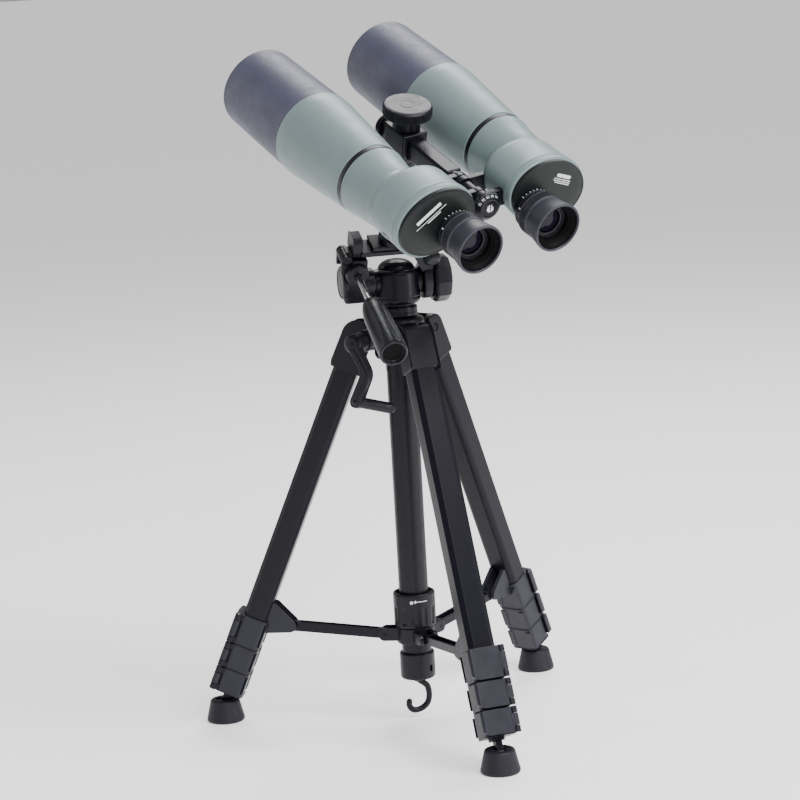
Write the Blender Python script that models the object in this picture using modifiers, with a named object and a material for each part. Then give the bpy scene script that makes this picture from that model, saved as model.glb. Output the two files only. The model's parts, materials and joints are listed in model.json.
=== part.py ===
"""Giant individual-focus binoculars on a folding photo tripod with a three-way pan head.

The binocular is two Porro halves hinged on a centre bar. The bar slides in the clamp of a mount post,
the post stands on the head's quick-release plate, and the head turns on a geared centre column.
Each leg has four nested sections with flip locks, and three braces tie the legs to a sliding hub.

Lengths below are in millimetres and angles in degrees; the helpers turn them into metres.
"""

import math

import bmesh
import bpy
from mathutils import Euler, Matrix, Vector

MM = 0.001
GAP = 0.3

# Tripod: leg directions, leg pivots and the lean of an opened leg.
LEG_AZIMUTHS = (173, 293, 53)
LEG_PIVOT_R = 35
LEG_PIVOT_Z = 348.93
LEG_LEAN = 23.2
ANKLE = 362
TUBE_W, TUBE_D = 24, 22
WALL = 1.5
LOCK_ENDS = (302, 326, 349)
LOCK_STARTS = (274, 302 + GAP, 326 + GAP)
BRACKET_END = 31
FOOT_R, FOOT_H = 17, 20

# Spreader: hub ring, brace pins and the pin on each leg, in the leg's own frame.
HUB_Z = 79
HUB_LOW, HUB_HIGH = HUB_Z - 8, HUB_Z + 7
HUB_PIN_R = 27
LEG_PIN_DOWN, LEG_PIN_IN = 270, 33.5
COLLAR_TOP = 117

# Crown, column and crank.
COLUMN_R = 11
GUIDE_R = 13
CROWN_R = 22.5
CROWN_TOP = 364
CRANK_AZIMUTH = 238
CRANK_Z = 350
CRANK_ARM = 50
CRANK_PLANE = 72

# Head: the tilt axis, the pan and tilt of the stored pose, the post's turn on its plate, and heights.
TILT_Z = 394
PAN, TILT, TURN = 16.01, 24.66, 17.83
BODY_R = 20.2
DRUM_R = 17
BED_LOW, BED_HIGH = 33.5, 38
PLATE_TOP = 42.1
FLIP_X, FLIP_Z = -48, 30
HANDLE_START = (-39, -13, 18)
ROD_LENGTH, GRIP_LENGTH = 32, 94

# Binocular, in its own frame: X right, Y forward, Z up, hinge axis along Y at the centre.
POST_Y = 171
BAR_RISE = 138.1
OBJECTIVE_X = 62
EYE_X, EYE_Z = 37.5, -5.7
OVAL_X, OVAL_Z, OVAL_TURN = 54, 3.8, 12
OVAL_A, OVAL_B = 36.4, 28.9
HOUSING_END, TUBE_END, SHIELD_END = 124, 216, 309
NECK_R, CONE_R = 26.5, 31.2
HINGE_R = 7.7
BAR_W, BAR_H = 15, 17
STRAPS = {1: ((52, 58), (80, 86)), -1: ((59, 65), (87, 93))}


# ---------------------------------------------------------------- helpers


def clear_scene():
    for obj in list(bpy.data.objects):
        bpy.data.objects.remove(obj, do_unlink=True)


def collection(name):
    made = bpy.data.collections.new(name)
    bpy.context.scene.collection.children.link(made)
    return made


def at(x=0, y=0, z=0, rx=0, ry=0, rz=0):
    """A placement: turned about X, Y and Z, then moved."""
    turn = Euler([math.radians(a) for a in (rx, ry, rz)], "XYZ").to_matrix().to_4x4()
    return Matrix.Translation(Vector((x, y, z)) * MM) @ turn


ALONG_X = at(ry=90)
FORWARD = at(rx=-90)
HANDLE_PLACE = at(*HANDLE_START) @ at(rx=90)
KNOB_PLACE = at(x=25, y=-12, z=BED_LOW + 1) @ at(rx=118)


def frame(name, parent, place):
    empty = bpy.data.objects.new(name, None)
    empty.empty_display_size = 0.01
    PARTS.objects.link(empty)
    empty.parent = parent
    empty.matrix_local = place
    return empty


def material(name, colour, roughness, metallic=0.0):
    made = bpy.data.materials.new(name)
    made.use_nodes = True
    shader = made.node_tree.nodes["Principled BSDF"]
    shader.inputs["Base Color"].default_value = (*colour, 1)
    shader.inputs["Roughness"].default_value = roughness
    shader.inputs["Metallic"].default_value = metallic
    return made


def shape(mesh, parent, place):
    obj = bpy.data.objects.new("shape", mesh)
    PARTS.objects.link(obj)
    obj.parent = parent
    obj.matrix_local = place
    return obj


def from_bmesh(bm, parent, place):
    bmesh.ops.recalc_face_normals(bm, faces=bm.faces)
    mesh = bpy.data.meshes.new("shape")
    bm.to_mesh(mesh)
    bm.free()
    return shape(mesh, parent, place)


def box(parent, low, high, place=at(), bevel=0.0):
    """A box between two corners, its edges rounded by bevel."""
    low, high = Vector(low) * MM, Vector(high) * MM
    bm = bmesh.new()
    size = high - low
    middle = Matrix.Translation((low + high) / 2)
    bmesh.ops.create_cube(bm, size=1, matrix=middle @ Matrix.Diagonal((*size, 1)))
    obj = from_bmesh(bm, parent, place)
    if bevel:
        edge = obj.modifiers.new("rounded", "BEVEL")
        edge.width = bevel * MM
        edge.segments = 1
    return obj


def cylinder(parent, radius, start, end, place=at(), sides=16):
    """A cylinder along Z from start to end."""
    bm = bmesh.new()
    bmesh.ops.create_cone(
        bm,
        cap_ends=True,
        segments=sides,
        radius1=radius * MM,
        radius2=radius * MM,
        depth=(end - start) * MM,
        matrix=Matrix.Translation((0, 0, (start + end) / 2 * MM)),
    )
    return from_bmesh(bm, parent, place)


def turned(parent, profile, place=at(), steps=20):
    """A solid of revolution about Z. The profile is (radius, height), down its outer side first."""
    points = [(r * MM, 0, z * MM) for r, z in profile]
    edges = [(i, i + 1) for i in range(len(points) - 1)]
    if profile[0][0] > 0:
        edges.append((len(points) - 1, 0))
    mesh = bpy.data.meshes.new("shape")
    mesh.from_pydata(points, edges, [])
    obj = shape(mesh, parent, place)
    screw = obj.modifiers.new("turned", "SCREW")
    screw.steps = screw.render_steps = steps
    screw.use_merge_vertices = True
    screw.merge_threshold = 0.00001
    return obj


def curve_mesh(curve, parent, place):
    """The curve as a closed mesh object."""
    drawn = bpy.data.objects.new("drawn", curve)
    PARTS.objects.link(drawn)
    graph = bpy.context.evaluated_depsgraph_get()
    mesh = bpy.data.meshes.new_from_object(drawn.evaluated_get(graph))
    bpy.data.objects.remove(drawn)
    bm = bmesh.new()
    bm.from_mesh(mesh)
    bmesh.ops.remove_doubles(bm, verts=bm.verts, dist=0.00001)
    return from_bmesh(bm, parent, place)


def poly_spline(curve, points, cyclic):
    spline = curve.splines.new("POLY")
    spline.points.add(len(points) - 1)
    for point, place in zip(spline.points, points):
        point.co = (*(Vector(place).to_3d() * MM), 1)
    spline.use_cyclic_u = cyclic


def plate(parent, outline, start, end, place=at()):
    """A flat outline in X and Y, with thickness from start to end along Z."""
    curve = bpy.data.curves.new("outline", "CURVE")
    curve.dimensions = "2D"
    curve.fill_mode = "BOTH"
    curve.extrude = (end - start) / 2 * MM
    poly_spline(curve, outline, True)
    return curve_mesh(curve, parent, place @ at(z=(start + end) / 2))


def rod(parent, points, radius, place=at()):
    """A round bar along a line of points."""
    curve = bpy.data.curves.new("route", "CURVE")
    curve.dimensions = "3D"
    curve.bevel_depth = radius * MM
    curve.bevel_resolution = 2
    curve.use_fill_caps = True
    poly_spline(curve, points, False)
    return curve_mesh(curve, parent, place)


def loft(parent, rings, place=at()):
    """Skin over rings of equal point count, capped at both ends."""
    bm = bmesh.new()
    rows = [[bm.verts.new(Vector(p) * MM) for p in ring] for ring in rings]
    for lower, upper in zip(rows, rows[1:]):
        for i in range(len(lower)):
            j = (i + 1) % len(lower)
            bm.faces.new((lower[i], lower[j], upper[j], upper[i]))
    bm.faces.new(rows[0])
    bm.faces.new(rows[-1])
    return from_bmesh(bm, parent, place)


def combine(operation, base, others):
    for other in others:
        tool = base.modifiers.new(operation.lower(), "BOOLEAN")
        tool.operation = operation
        tool.object = other
        other.hide_render = True
        other.display_type = "WIRE"
        PARTS.objects.unlink(other)
        CUTTERS.objects.link(other)
    return base


def join(base, *others):
    return combine("UNION", base, others)


def cut(base, *others):
    return combine("DIFFERENCE", base, others)


def finish(obj, name, surface, smooth=35):
    obj.name = name
    obj.data.name = name
    obj.data.materials.append(surface)
    obj.data.shade_smooth()
    obj.data.set_sharp_from_angle(angle=math.radians(smooth))
    return obj


def arc(radius, start, end, steps, x=0, y=0):
    """Points on an arc from start to end degrees about (x, y)."""
    turns = [math.radians(start + (end - start) * i / steps) for i in range(steps + 1)]
    return [(x + radius * math.cos(t), y + radius * math.sin(t)) for t in turns]


def slab_end(length, half, steps=6):
    """A bar outline along X from a round end at the origin to a round end at length."""
    return arc(half, 90, 270, steps) + arc(half, -90, 90, steps, x=length)


# ---------------------------------------------------------------- binocular halves


def oval(side, y, a, b, count=24):
    """A tilted ellipse across the housing at y, leaning with its inner end up."""
    tilt = math.radians(-OVAL_TURN)
    ring = []
    for i in range(count):
        t = 2 * math.pi * i / count
        u, v = a * math.cos(t), b * math.sin(t)
        x = OVAL_X + u * math.cos(tilt) - v * math.sin(tilt)
        ring.append((side * x, y, OVAL_Z + u * math.sin(tilt) + v * math.cos(tilt)))
    return ring


def reach_of_ellipse(start, middle, a, b, turn, ray):
    """Distance from a point inside an ellipse to its edge along a ray, all in the cross-section."""
    cos, sin = math.cos(turn), math.sin(turn)

    def local(x, z):
        return Vector(((x * cos + z * sin) / a, (z * cos - x * sin) / b))

    p, d = local(start[0] - middle[0], start[1] - middle[1]), local(*ray)
    half = p.dot(d) / d.dot(d)
    return math.sqrt(max(half * half - (p.dot(p) - 1) / d.dot(d), 0)) - half


def blended_ring(side, y, inset, neck, count=24):
    """The oval body and the round neck in front of it as one outline, with a soft crease between them."""
    start = (OVAL_X + 4, OVAL_Z - 2.3)
    crease = 2.5
    ring = []
    for i in range(count):
        t = 2 * math.pi * i / count
        ray = (math.cos(t), math.sin(t))
        body = reach_of_ellipse(
            start, (OVAL_X, OVAL_Z), OVAL_A - inset, OVAL_B - inset, math.radians(-OVAL_TURN), ray
        )
        tube = reach_of_ellipse(start, (OBJECTIVE_X, 0), neck, neck, 0, ray)
        reach = (body + tube + math.hypot(body - tube, crease)) / 2
        ring.append((side * (start[0] + reach * ray[0]), y, start[1] + reach * ray[1]))
    return ring


def housing_rings(side, wall=0.0, overrun=0.0):
    """Sections of the prism housing from its rear rim, over the shoulder, to the objective tube."""
    shoulder, length, drop = 78, 14, 20
    rim = ((41.5 - overrun, 0), (44, -1), (48, -1), (50, 0))
    rings = [blended_ring(side, y, inset + wall, NECK_R - wall) for y, inset in rim]
    for step in range(6):
        turn = math.radians(15 * step)
        y = shoulder + (length - wall) * math.sin(turn)
        inset = drop - (drop - wall) * math.cos(turn)
        rings.append(blended_ring(side, y, inset, NECK_R - wall))
    for y, neck in ((96, NECK_R + 0.8), (110, 28.9), (HOUSING_END + overrun, CONE_R)):
        rings.append(blended_ring(side, y, drop, neck - wall))
    return rings


def prism_housing(side, half):
    body = loft(half, housing_rings(side))
    cut(body, loft(half, housing_rings(side, wall=2.8, overrun=1)))
    join(body, box(half, (side * 86 - 3, 58, -13), (side * 86 + 3, 66, 2), bevel=1))
    for (start, end), reach in zip(STRAPS[side], (24, 38)):
        web = box(half, (min(0, side * reach), start, -6), (max(0, side * reach), end, 8.9))
        join(body, web, cylinder(half, 9.6, start, end, FORWARD))
    return cut(body, cylinder(half, HINGE_R + GAP, 40, 110, FORWARD))


def objective_tube(side, half):
    profile = [(37.9, TUBE_END), (37.9, 204), (CONE_R, 128), (CONE_R, HOUSING_END + GAP)]
    profile += [(28.7, HOUSING_END + GAP), (28.7, 128), (35.3, 204), (35.3, TUBE_END)]
    return turned(half, profile, at(x=side * OBJECTIVE_X) @ FORWARD, 28)


def dew_shield(side, half):
    """The hood, with a spigot that plugs into the objective tube."""
    plug = TUBE_END - 10
    profile = [(35.6, SHIELD_END), (36.2, SHIELD_END - 1), (37.5, TUBE_END + GAP), (34.9, TUBE_END + GAP)]
    profile += [(34.9, plug), (32.4, plug), (32.4, plug + 11), (33.5, plug + 15), (33.3, SHIELD_END)]
    return turned(half, profile, at(x=side * OBJECTIVE_X) @ FORWARD, 28)


def objective_lens(side, half):
    profile = [(0, 275), (12, 274.3), (23, 272.2), (33, 269), (33, 264), (0, 262.5)]
    return turned(half, profile, at(x=side * OBJECTIVE_X) @ FORWARD, 24)


def rear_cover(side, half):
    edge = ((37.9, 1.5), (39, 0.5), (41.2, 0.5))
    cover = loft(half, [oval(side, y, OVAL_A - inset, OVAL_B - inset) for y, inset in edge])
    return cut(cover, cylinder(half, 10.2, 30, 50, at(x=side * EYE_X, z=EYE_Z) @ FORWARD, 24))


def prism_pair(side, half):
    """Two right-angle prisms on a shelf plate."""
    shelf = box(half, (side * 55 - 20, 72, -8), (side * 55 + 20, 75, 20))
    near = plate(half, [(-17, 0), (17, 0), (0, 13)], -9, 9, at(side * 52, 72.5, 6, rx=180))
    far = plate(half, [(-13, 0), (13, 0), (0, 10)], -11, 11, at(side * 57, 74.5, 5) @ at(ry=90))
    return join(shelf, near, far)


def eyepiece_tube(side, half):
    profile = [(9.8, 46), (9.8, 37.6), (17.3, 37.6), (17.3, 30.4), (13.9, 30.4), (13.9, 12)]
    profile += [(10.8, 12), (10.8, 30), (8, 32), (8, 46)]
    return turned(half, profile, at(x=side * EYE_X, z=EYE_Z) @ FORWARD, 24)


def focus_ring(side, half):
    """The knurled ring with its tapered eyecup."""
    profile = [(18.8, 30), (19.6, 29), (19.6, 19.5), (18.6, 18.6), (18.8, 16.5), (21.5, 3), (21.5, 1)]
    profile += [(20.7, 0), (19.6, 0), (18.6, 3.5), (14.3, 11.4), (14.3, 30)]
    return turned(half, profile, at(x=side * EYE_X, z=EYE_Z) @ FORWARD, 24)


def eye_lens(side, half):
    profile = [(0, 20), (5, 19.7), (10.4, 18.6), (10.4, 15.4), (5, 14.5), (0, 14.2)]
    return turned(half, profile, at(x=side * EYE_X, z=EYE_Z) @ FORWARD, 20)


def build_half(side, word, bino):
    half = frame("half_" + word, bino, at())
    finish(prism_housing(side, half), "prism_housing_" + word, ARMOUR)
    finish(objective_tube(side, half), "objective_tube_" + word, ARMOUR)
    finish(dew_shield(side, half), "dew_shield_" + word, BLACK_RUBBER)
    finish(objective_lens(side, half), "objective_lens_" + word, LENS)
    finish(rear_cover(side, half), "rear_cover_" + word, COVER)
    finish(prism_pair(side, half), "prism_pair_" + word, LENS)
    frame("eye_" + word, half, at(x=side * EYE_X, z=EYE_Z))
    finish(eyepiece_tube(side, half), "eyepiece_tube_" + word, PLASTIC)
    finish(focus_ring(side, half), "focus_ring_" + word, BLACK_RUBBER)
    finish(eye_lens(side, half), "eye_lens_" + word, LENS)


# ---------------------------------------------------------------- centre bar and mount post


def build_centre_bar(bino):
    bar = box(bino, (-BAR_W / 2, 97, -BAR_H / 2), (BAR_W / 2, 198, BAR_H / 2), bevel=2)
    tube = cylinder(bino, HINGE_R, 42, 98, FORWARD)
    dial = turned(bino, [(0, 50.5), (12.5, 50.5), (12.5, 45), (11, 43), (0, 43)], FORWARD)
    cap = turned(bino, [(0, 203.5), (9.5, 203.5), (11, 202), (11, 197), (0, 197)], FORWARD)
    finish(join(bar, tube, dial, cap), "center_bar", PLASTIC)


def build_mount(platform):
    """The post on the plate, its clamp block round the bar, and the clamp screw's disc knob."""
    post = frame("post", platform, at(z=PLATE_TOP, rz=TURN))
    rise = BAR_RISE - PLATE_TOP
    way_w, way_h = BAR_W / 2 + 0.4, BAR_H / 2 + 0.4
    block = box(post, (-12, -15, rise - 13), (12, 15, rise + 13), bevel=1.5)
    stem = turned(post, [(0, rise - 12), (10, rise - 12), (10, 9), (18, 6), (18, GAP), (0, GAP)])
    way = box(post, (-way_w, -20, rise - way_h), (way_w, 20, rise + way_h))
    screw_hole = cylinder(post, 4.3, rise, rise + 20)
    finish(cut(join(block, stem), way, screw_hole), "mount_post", PLASTIC)
    disc = [(0, 35), (19, 35), (21, 33), (21, 26), (19.5, 24.5), (11.8, 24.5)]
    disc += [(11.8, 13 + GAP), (4, 13 + GAP), (4, 9.6), (0, 9.6)]
    finish(turned(post, [(r, rise + z) for r, z in disc]), "post_clamp_knob", PLASTIC)
    return post


# ---------------------------------------------------------------- pan head


def build_pan_body(pan):
    """A domed barrel on a wide neck, bored for the column's spigot and crossed by the tilt shaft."""
    low = CROWN_TOP + GAP - TILT_Z
    profile = [(0, 20), (8, 19.2), (15, 15.5), (16, 12), (19, 10), (BODY_R, 8), (BODY_R, -16), (18.5, -18.5)]
    profile += [(15, -19), (15, -21), (17, -21.5), (17, low), (8.3, low), (8.3, -9.5), (0, -9.5)]
    body = turned(pan, profile)
    shaft = cylinder(pan, 4, -34, 29, ALONG_X)
    finish(join(body, shaft), "pan_body", PAINT)


def build_tilt_yoke(tilt):
    """Left block with the handle socket, right drum, a bridge over the body and the flip hinge's ears."""
    block = box(tilt, (-48.5, -12, -13), (-29, 12, 25), bevel=3)
    end_disc = cylinder(tilt, 14.5, -50.5, -46, at(z=3) @ ALONG_X, 24)
    riser = box(tilt, (-43, -11.5, 20), (-29.5, 11.5, 30), bevel=1)
    left_round = cylinder(tilt, 13.5, -32, -21.3, ALONG_X)
    bridge = box(tilt, (-32.5, -4, 29), (28, 11, BED_LOW - GAP))
    gusset = plate(tilt, [(10, -32), (21.3, -12), (30, -12), (30, -32)], -9, 9, at(rx=-90))
    drum = cylinder(tilt, DRUM_R, 21.3, 30, ALONG_X, 24)
    yoke = join(block, end_disc, left_round, riser, bridge, gusset, drum)
    for start, end in ((-10.5, -6.5), (6.5, 10.5)):
        ear = box(tilt, (FLIP_X - 4.6, start, 18), (FLIP_X + 4.6, end, FLIP_Z))
        eye = cylinder(tilt, 5, start, end, at(FLIP_X, 0, FLIP_Z) @ FORWARD)
        join(yoke, ear, eye)
    boss = cylinder(tilt, 10, -3, 4, HANDLE_PLACE, 20)
    well = cylinder(tilt, 6.2, -6.7, 6.7, at(FLIP_X, 0, FLIP_Z) @ FORWARD)
    bore = cylinder(tilt, 4.4, -34.5, 60, ALONG_X)
    socket = cylinder(tilt, 3.3, -7, 20, HANDLE_PLACE)
    return finish(cut(join(yoke, boss), well, bore, socket), "tilt_yoke", PLASTIC)


def build_platform(platform):
    """The plate bed, its side wall, the knuckle of the flip hinge and a small locking knob."""
    bed = box(platform, (-36, -12, BED_LOW), (32, 12, BED_HIGH), bevel=1)
    tongue = box(platform, (FLIP_X, -6.2, FLIP_Z + 0.5), (-33, 6.2, 36))
    knuckle = cylinder(platform, 5, -6.2, 6.2, at(FLIP_X, 0, FLIP_Z) @ FORWARD)
    side = box(platform, (-43, -10, 35.5), (-34, 10, 50), bevel=1.5)
    knob = turned(platform, [(0, 11), (5, 11), (7.6, 8), (7.6, 4), (2, 1), (2, -3), (0, -3)], KNOB_PLACE, 14)
    finish(join(bed, tongue, knuckle, side, knob), "camera_platform", PLASTIC)
    slab = box(platform, (-26, -12, BED_HIGH + GAP), (28, 12, PLATE_TOP), bevel=1.2)
    finish(slab, "quick_release_plate", PLASTIC)


def build_handle(tilt):
    rod_piece = cylinder(tilt, 3, -6, ROD_LENGTH + 4, HANDLE_PLACE, 16)
    end = ROD_LENGTH + GRIP_LENGTH
    profile = [(0, end), (9, end), (12, end - 3), (12.2, end - 30), (11.5, ROD_LENGTH + 30)]
    profile += [(9.5, ROD_LENGTH + 8), (6.5, ROD_LENGTH), (0, ROD_LENGTH)]
    grip = turned(tilt, profile, HANDLE_PLACE, 20)
    finish(join(rod_piece, grip), "pan_handle", BLACK_RUBBER)


def build_tilt_knob(tilt):
    """A ten-sided knob on the right end of the tilt shaft."""
    facets = 10
    knob = cylinder(tilt, 20.5, 32.5, 46, ALONG_X, facets)
    hub = cylinder(tilt, 15, 30 + GAP, 33.5, ALONG_X, 20)
    finish(join(knob, hub), "tilt_knob", PLASTIC)


# ---------------------------------------------------------------- crown, column and crank


def build_crown(stand):
    """Crown, guide tube and lower cup in one turned piece, with three leg lugs and the crank boss."""
    profile = [(CROWN_R - 2.5, CROWN_TOP), (CROWN_R, 361.5), (CROWN_R, 331), (20, 327), (GUIDE_R, 325)]
    profile += [(GUIDE_R, 62), (15.5, 62), (15.5, 39.5), (14.5, 38), (3.6, 38), (3.6, 43), (11.4, 43)]
    profile += [(11.4, CROWN_TOP)]
    crown = turned(stand, profile)
    for azimuth in LEG_AZIMUTHS:
        turn = at(rz=azimuth)
        root = box(stand, (18, -6.5, LEG_PIVOT_Z - 7), (LEG_PIVOT_R, 6.5, LEG_PIVOT_Z + 7), turn)
        across = turn @ at(x=LEG_PIVOT_R, z=LEG_PIVOT_Z) @ at(rx=90)
        join(crown, root, cylinder(stand, 7.5, -6.5, 6.5, across), cylinder(stand, 3.2, -12.6, 12.6, across))
    outward = at(rz=CRANK_AZIMUTH) @ at(z=CRANK_Z) @ ALONG_X
    join(crown, cylinder(stand, 9.5, 20, CRANK_PLANE - 14, outward, 24))
    cut(crown, cylinder(stand, 3.6, 30, 90, outward, 16))
    finish(crown, "crown", PLASTIC)


def build_column(column):
    profile = [(0, 383), (8, 383), (8, CROWN_TOP), (COLUMN_R, CROWN_TOP), (COLUMN_R, 75)]
    profile += [(9.2, 75), (9.2, 352), (0, 352)]
    finish(turned(column, profile), "center_column", PAINT)


def build_crank(crank):
    """Axle, disc, dogleg arm and a grip folded in towards the column; the crank turns about Z here."""
    axle = cylinder(crank, 3.3, 32, CRANK_PLANE - 10, sides=16)
    disc = cylinder(crank, 8.5, CRANK_PLANE - 14 + GAP, CRANK_PLANE)
    bend, elbow = 13.5, CRANK_ARM * 0.5
    outline = [(-6, 0), (bend - 5, elbow), (-5, CRANK_ARM), (0, CRANK_ARM + 5)]
    outline += [(5, CRANK_ARM + 1), (bend + 5, elbow), (6, 0), (0, -6)]
    arm = plate(crank, [(x, -y) for x, y in outline], CRANK_PLANE - 2, CRANK_PLANE + 3)
    grip = rod(crank, [(0, -CRANK_ARM, CRANK_PLANE - 1.5), (23, -CRANK_ARM - 7, CRANK_PLANE - 17)], 5)
    finish(join(disc, axle, arm, grip), "crank", PLASTIC)


# ---------------------------------------------------------------- spreader, collar and hook


def build_hub(stand):
    profile = [(16.5, HUB_HIGH), (17, HUB_HIGH - 1), (17, HUB_LOW + 1), (16.5, HUB_LOW)]
    ring = turned(stand, profile + [(13.4, HUB_LOW), (13.4, HUB_HIGH)])
    for azimuth in LEG_AZIMUTHS:
        turn = at(rz=azimuth)
        across = turn @ at(x=HUB_PIN_R, z=HUB_Z) @ at(rx=90)
        for edge in (-1, 1):
            low, high = edge * 7 - 1.65, edge * 7 + 1.65
            ear = box(stand, (14.5, low, HUB_Z - 4.6), (HUB_PIN_R, high, HUB_Z + 4.6), turn)
            join(ring, ear, cylinder(stand, 5, low - 0.05, high + 0.05, across))
        join(ring, cylinder(stand, 2, -7, 7, across, 12))
    finish(ring, "brace_hub", PLASTIC)


def build_collar(stand):
    low = HUB_HIGH + GAP
    profile = [(17, COLLAR_TOP), (18.6, COLLAR_TOP - 1), (18.6, low), (13.4, low), (13.4, COLLAR_TOP - 5)]
    profile += [(16, COLLAR_TOP - 2.5), (16, COLLAR_TOP)]
    finish(turned(stand, profile), "lock_collar", PLASTIC)


def build_hook(stand):
    """A hook that swivels in the lower cup's floor on a headed stem."""
    bend = ((0, 44), (0, 36), (4.5, 32), (8, 28), (9, 20), (7, 13), (1, 8.5), (-6, 8), (-9.5, 12), (-9.5, 17))
    route = [(x, 0, z) for x, z in bend]
    hook = rod(stand, route, 2.7, at(rz=15))
    head = cylinder(stand, 6, 43 + GAP, 46)
    finish(join(hook, head), "weight_hook", PAINT)


def build_brace(hub, number, azimuth):
    """A flat bar with round ends, from the hub pin to the leg's fork."""
    out, up = leg_pin()
    rise = math.degrees(math.atan2(up - HUB_Z, out - HUB_PIN_R))
    length = math.hypot(out - HUB_PIN_R, up - HUB_Z)
    base = at(rz=azimuth) @ at(x=HUB_PIN_R, z=HUB_Z)
    pin = frame(f"brace_{number}_pin", hub, base)
    bar = plate(pin, slab_end(length, 3.8), -4.5, 4.5, at(ry=-rise) @ at(rx=90))
    hole = cylinder(pin, 2.3, -9, 9, at(rx=90), 12)
    groove = box(pin, (9, -2.7, -6), (length - 7, 2.7, 1.5), at(ry=-rise))
    finish(cut(bar, hole, groove), f"brace_{number}", PAINT)


# ---------------------------------------------------------------- legs


def leg_pin():
    """Radius and height of the brace pin on a leg, in the stand's frame."""
    lean = math.radians(LEG_LEAN)
    out = LEG_PIVOT_R + LEG_PIN_DOWN * math.sin(lean) - LEG_PIN_IN * math.cos(lean)
    up = LEG_PIVOT_Z - LEG_PIN_DOWN * math.cos(lean) - LEG_PIN_IN * math.sin(lean)
    return out, up


def tube_outline(width, depth, corner):
    w, d = width / 2 - corner, depth / 2 - corner
    points = []
    for x, y, start in ((w, d, 0), (-w, d, 90), (-w, -d, 180), (w, -d, 270)):
        points += arc(corner, start, start + 90, 2, x, y)
    return points


def section_size(level):
    """Outer width and depth of a nested section; level 0 is the upper leg."""
    step = 2 * (WALL + 0.3)
    return TUBE_W - step * level, TUBE_D - step * level


def tube(leg, level, top, bottom, hollow=True):
    """A section's tube, open at both ends unless it is solid. Distances run down the leg."""
    width, depth = section_size(level)
    body = plate(leg, tube_outline(width, depth, 3.5), -bottom, -top)
    if hollow:
        inner = plate(leg, tube_outline(width - 2 * WALL, depth - 2 * WALL, 2.5), -bottom - 2, -top + 2)
        cut(body, inner)
    return body


def add_lock(leg, body, level):
    """The flip-lock housing round a section's lower end, with the knuckles of its lever."""
    start, end = LOCK_STARTS[level], LOCK_ENDS[level]
    width, depth = section_size(level)
    housing = box(leg, (-14, -12.8, -end), (13, 12.8, -start), bevel=1.5)
    passage = plate(leg, tube_outline(width - 2 * WALL, depth - 2 * WALL, 2.5), -end - 2, -start + 2)
    join(body, housing)
    cut(body, cylinder(leg, 3.7, -end + 6, -start - 6, at(x=-14.2, y=13.8), 12))
    for low, high in ((start + 0.5, start + 6), (end - 6, end - 0.5)):
        knuckle = cylinder(leg, 3.2, -high, -low, at(x=-14.2, y=13.8), 12)
        root = box(leg, (-15, 9, -high), (-11.5, 13.4, -low))
        join(body, knuckle, root)
    join(body, cylinder(leg, 1.2, -end + 3, -start - 3, at(x=-14.2, y=13.8), 8))
    return cut(body, passage)


def build_upper_leg(leg, number):
    body = tube(leg, 0, BRACKET_END - 5, LOCK_ENDS[0] - 3)
    bracket = box(leg, (-13, -11.7, -BRACKET_END), (13, 11.7, 0), bevel=2)
    shoulder = cylinder(leg, 12, -13, 13, ALONG_X, 24)
    join(body, bracket, shoulder)
    slot = box(leg, (-6.9, -20, -20), (6.9, 8.6, 30))
    pin_hole = cylinder(leg, 3.6, -20, 20, ALONG_X, 16)
    add_lock(leg, body, 0)
    for edge in (-1, 1):
        cheek = [(-11, 15 - LEG_PIN_DOWN), (-11, -15 - LEG_PIN_DOWN), (-LEG_PIN_IN - 1.5, -4.5 - LEG_PIN_DOWN)]
        cheek += [(-LEG_PIN_IN - 5, -LEG_PIN_DOWN), (-LEG_PIN_IN - 1.5, 4.5 - LEG_PIN_DOWN)]
        start, end = sorted((edge * 5.2, edge * 8))
        join(body, plate(leg, cheek[::-1], start, end, at(rx=90) @ at(ry=90)))
    cut(body, slot, pin_hole)
    return finish(body, f"leg_{number}_upper", PAINT)


def build_lower_sections(leg, number):
    tops = (95, 110, 125)
    for level in (1, 2):
        body = tube(leg, level, tops[level - 1], LOCK_ENDS[level] - 3)
        finish(add_lock(leg, body, level), f"leg_{number}_section_{level + 1}", PAINT)
    tip = tube(leg, 3, tops[2], ANKLE - 10, hollow=False)
    tongue = box(leg, (-3, -3.8, -ANKLE), (3, 3.8, -ANKLE + 14))
    eye = cylinder(leg, 4, -3, 3, at(z=-ANKLE) @ ALONG_X, 16)
    pin = cylinder(leg, 1.6, -6, 6, at(z=-ANKLE) @ ALONG_X, 10)
    finish(join(tip, tongue, eye, pin), f"leg_{number}_section_4", PAINT)


def build_levers(leg, number):
    """Each lever lies on the outer face of its housing and curls over the far edge."""
    for level, (start, end) in enumerate(zip(LOCK_STARTS, LOCK_ENDS), 1):
        hinge = frame(f"leg_{number}_lever_{level}_hinge", leg, at(x=-14.2, y=13.8))
        outline = [(2.2, 2.6), (26, 2.6), (29.5, 0.5), (30.2, -4), (27.6, -4), (27.6, -0.7), (2.2, -0.7)]
        wrap = plate(hinge, outline[::-1], -end + 1, -start - 1)
        knuckle = cylinder(hinge, 3.2, -end + 6.4, -start - 6.4, sides=12)
        web = box(hinge, (0, -0.7, -end + 6.4), (4, 2.6, -start - 6.4))
        relief_top = cylinder(hinge, 3.7, -start - 6.3, -start + 1, sides=12)
        relief_low = cylinder(hinge, 3.7, -end - 1, -end + 6.3, sides=12)
        bore = cylinder(hinge, 1.6, -end - 1, -start + 1, sides=8)
        lever = cut(join(wrap, knuckle, web), relief_top, relief_low, bore)
        finish(lever, f"leg_{number}_lever_{level}", PLASTIC)


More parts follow.
